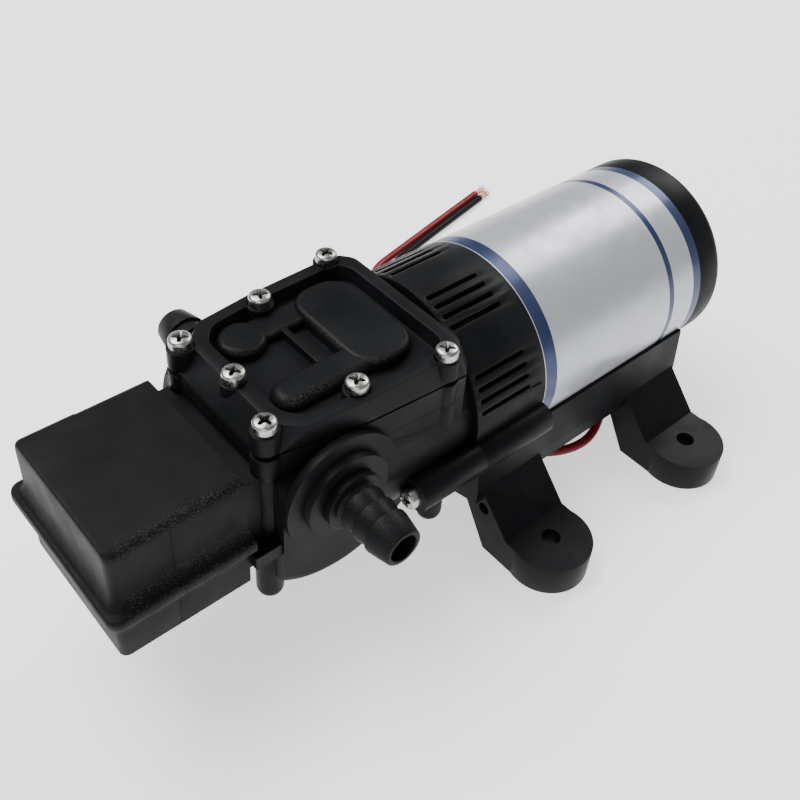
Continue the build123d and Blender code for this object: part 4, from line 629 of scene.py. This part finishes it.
def make_heads(name, node, seats, turned_to):
    """One mesh of heads. Each seat is a place and a turn, and turned_to maps up to outwards."""
    shape, shape_faces = head_shape()
    recess_floor = len(ARM) * ARM_COUNT
    points, faces, grime_and_shade = [], [], []
    for place, turn in seats:
        base = len(points)
        # Recess floor points are set to one, where the finish paints dirt and shade
        grime_and_shade += [0.0] * (len(shape) - recess_floor) + [1.0] * recess_floor
        stand = Matrix.Translation(place) @ turned_to @ Matrix.Rotation(radians(turn), 4, "Z")
        points += [stand @ mm(*point) for point in shape]
        faces += [tuple(base + n for n in face) for face in shape_faces]
    solid = points, faces, grime_and_shade
    add_form(name, node, "screw_nickel", solid, "grime_and_shade", TURNED_SHARP_DEG)


def make_screws():
    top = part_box("cover_screws")[1].z
    seats = [(Vector((x * MM, y * MM, top - HEAD_H * MM)), turn) for x, y, turn in COVER_SCREWS]
    make_heads("cover_screw_heads", "cover_screws", seats, Matrix.Identity(4))
    low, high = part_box("tie_screws")
    reach = HEAD_R * MM
    seats = [(Vector((low.x + HEAD_H * MM, y, (low.z + high.z) / 2)), turn)
             for y, turn in zip((low.y + reach, high.y - reach), TIE_SCREW_TURNS_DEG)]
    make_heads("tie_screw_heads", "tie_screws", seats, Matrix.Rotation(-pi / 2, 4, "Y"))


# Round wires: a curve with a round section, and the splines that it follows

def wire_curve(name, radius, along=12, around=5):
    """An empty wire with its steps along each span and around its section."""
    curve = bpy.data.curves.new(name, "CURVE")
    curve.dimensions = "3D"
    curve.bevel_depth = radius * MM
    curve.bevel_resolution = around
    curve.resolution_u = along
    curve.use_fill_caps = True
    return curve


def add_spline(curve, points):
    spline = curve.splines.new("NURBS")
    spline.points.add(len(points) - 1)
    for target, point in zip(spline.points, points):
        target.co = (*point, 1)
    spline.order_u = 3
    spline.use_endpoint_u = True


# Pressure switch spring: a coil of wire in place of the node

COIL_WIRE_R, COIL_TURNS, COIL_STEPS, PLUNGER_TRAVEL = 0.4, 6, 14, 1.0


def make_spring():
    low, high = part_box("switch_spring")
    middle_z = (low.z + high.z) / 2
    reach = high.y - COIL_WIRE_R * MM
    start, length = low.x + COIL_WIRE_R * MM, high.x - low.x - 2 * COIL_WIRE_R * MM
    points = []
    for n in range(COIL_TURNS * COIL_STEPS + 1):
        turn = 2 * pi * n / COIL_STEPS
        along = start + length * n / (COIL_TURNS * COIL_STEPS)
        points.append(Vector((along, reach * cos(turn), middle_z + reach * sin(turn))))
    curve = wire_curve("coil_line", COIL_WIRE_R, along=3, around=2)
    add_spline(curve, points)
    line = bpy.data.objects.new("coil_line", curve)
    mesh = bpy.data.meshes.new_from_object(line)
    bpy.data.objects.remove(line)
    mesh.materials.clear()
    spring = add_object("switch_coil_spring", mesh, "steel")
    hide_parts("switch_spring")
    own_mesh(spring)


# Supply leads: two free wires with the stripped strands at their ends

LEAD_R = 1.2
RED_ROUTE = [(38.35, -6.9, 8.3), (31.5, -6.9, 8.3), (24.5, -12.0, 5.6), (17.5, -18.6, 2.0),
             (8.0, -21.0, 1.25), (-2.5, -16.8, 1.25), (-8.8, -6.6, 1.25), (-9.6, 7.0, 1.25),
             (-5.4, 21.4, 1.25), (1.4, 36.0, 1.25), (4.2, 52.0, 1.25), (8.8, 68.4, 1.25),
             (27.0, 72.5, 1.25), (47.5, 77.1, 1.25), (68.0, 81.6, 1.25)]
BLACK_ROUTE = [(38.35, -3.5, 8.3), (31.2, -3.5, 8.3), (24.2, -7.4, 5.6), (17.0, -12.4, 2.2),
               (8.6, -15.0, 1.25), (1.2, -12.0, 1.25), (-3.2, -3.6, 1.25), (-4.0, 8.0, 1.25),
               (-0.6, 21.0, 1.25), (6.0, 34.0, 1.25), (9.8, 49.6, 1.25), (15.6, 66.8, 1.25),
               (31.0, 70.7, 1.25), (49.3, 74.9, 1.25), (67.5, 78.9, 1.25)]
STRAND_R, STRAND_LENGTH, STRAND_STEPS = 0.15, 6.2, 6
# Count and radius of the strand in the middle and of the two rings round it
STRAND_RINGS = [(1, 0), (4, 0.36), (6, 0.66)]
# Twist in radians from root to tip, and how far the roots are sunk in the insulation
STRAND_TWIST, STRAND_SUNK = 1.6, 0.6
# Least and most fanning out at the tips, the share of the length where it begins, and its gain
STRAND_FAN, FAN_START, FAN_GAIN = (0.1, 0.75), 0.45, 1.5
STRAND_CUT = (0.82, 1.0)     # shortest and longest strand, as shares of the length


def make_strands(name, end, direction, seed):
    """Twisted copper strands that fan out a little towards their tips."""
    draw = random.Random(seed)
    sideways = direction.cross(Vector((0, 0, 1))).normalized()
    upward = sideways.cross(direction)
    curve = wire_curve(name, STRAND_R, along=6, around=2)
    rings = [(count, ring) for count, ring in STRAND_RINGS for _ in range(count)]
    for n, (count, ring) in enumerate(rings):
        start_turn = 2 * pi * n / count
        fan = draw.uniform(*STRAND_FAN)
        length = STRAND_LENGTH * draw.uniform(*STRAND_CUT)
        points = []
        for step in range(STRAND_STEPS):
            share = step / (STRAND_STEPS - 1)
            turn = start_turn + STRAND_TWIST * share
            spread = ring + fan * max(0, share - FAN_START) * FAN_GAIN
            height = max(spread * sin(turn), STRAND_R - LEAD_R)
            across = sideways * spread * cos(turn) * MM + upward * height * MM
            points.append(end + direction * (length * share - STRAND_SUNK) * MM + across)
        add_spline(curve, points)
    return add_object(name, curve, "copper")


def make_lead(colour, route, seed):
    curve = wire_curve(f"{colour}_lead_wire", LEAD_R)
    points = [mm(*point) for point in route]
    add_spline(curve, points)
    lead = add_object(f"{colour}_lead_wire", curve, f"{colour}_pvc")
    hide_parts(f"lead_{colour}")
    strands = make_strands(f"{colour}_strands", points[-1], (points[-1] - points[-2]).normalized(), seed)
    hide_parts("bare_ends")


# Stage: a pale floor a hair below the feet

FLOOR_REACH = 3.0        # from its middle to each side, in metres
FLOOR_DROP = 0.02
FLOOR_GLOW = 0.95
FLOOR, FLOOR_DARK, FLOOR_LIGHT = (0.93, 0.93, 0.93), (0.92, 0.92, 0.92), (0.94, 0.94, 0.94)


def floor_finish():
    made = Finish("floor", FLOOR, 0.7, specular=0.2)
    made.shader.inputs["Emission Color"].default_value = (1, 1, 1, 1)
    made.shader.inputs["Emission Strength"].default_value = FLOOR_GLOW
    made.colour(made.mix(made.noise(300), FLOOR_DARK, FLOOR_LIGHT))
    return made.material


def make_stage():
    corners = [(-1, -1), (1, -1), (1, 1), (-1, 1)]
    mesh = mesh_from("floor", [(x * FLOOR_REACH, y * FLOOR_REACH, 0) for x, y in corners], [(0, 1, 2, 3)])
    floor = bpy.data.objects.new("floor", mesh)
    mesh.materials.append(floor_finish())
    floor.location.z = -FLOOR_DROP * MM
    bpy.context.scene.collection.objects.link(floor)


# Light: three soft panels and a dim, nearly white world

WORLD_COLOUR, WORLD_STRENGTH = (0.97, 0.98, 1.0), 0.36
# Name, place, aim and size, all three in metres, and power in watts
LIGHTS = [("key", (-0.25, 0.35, 0.75), (0, 0, 0.03), (0.7, 0.5), 9),
          ("front", (-0.55, -0.45, 0.45), (-0.05, 0, 0.03), (0.5, 0.4), 1.4),
          ("rear", (0.55, 0.15, 0.55), (0.03, 0, 0.04), (0.35, 0.35), 3)]


def area_light(name, place, aim, size, power):
    data = bpy.data.lights.new(name, "AREA")
    data.shape = "RECTANGLE"
    data.size, data.size_y = size
    data.energy = power
    light = bpy.data.objects.new(name, data)
    direction = Vector(aim) - Vector(place)
    light.matrix_world = Matrix.Translation(place) @ direction.to_track_quat("-Z", "Y").to_matrix().to_4x4()
    bpy.context.scene.collection.objects.link(light)


def make_light():
    world = bpy.data.worlds.new("studio")
    bpy.context.scene.world = world
    world.use_nodes = True
    background = world.node_tree.nodes["Background"]
    background.inputs["Color"].default_value = (*WORLD_COLOUR, 1)
    background.inputs["Strength"].default_value = WORLD_STRENGTH
    for light in LIGHTS:
        area_light(*light)


make_camera()
make_stage()
make_light()
dress_nodes()
make_boot()
make_cover()
make_barb("inlet_barb", 1)
make_barb("outlet_barb", -1)
make_screws()
make_spring()
make_lead("red", RED_ROUTE, 3)
make_lead("black", BLACK_ROUTE, 8)
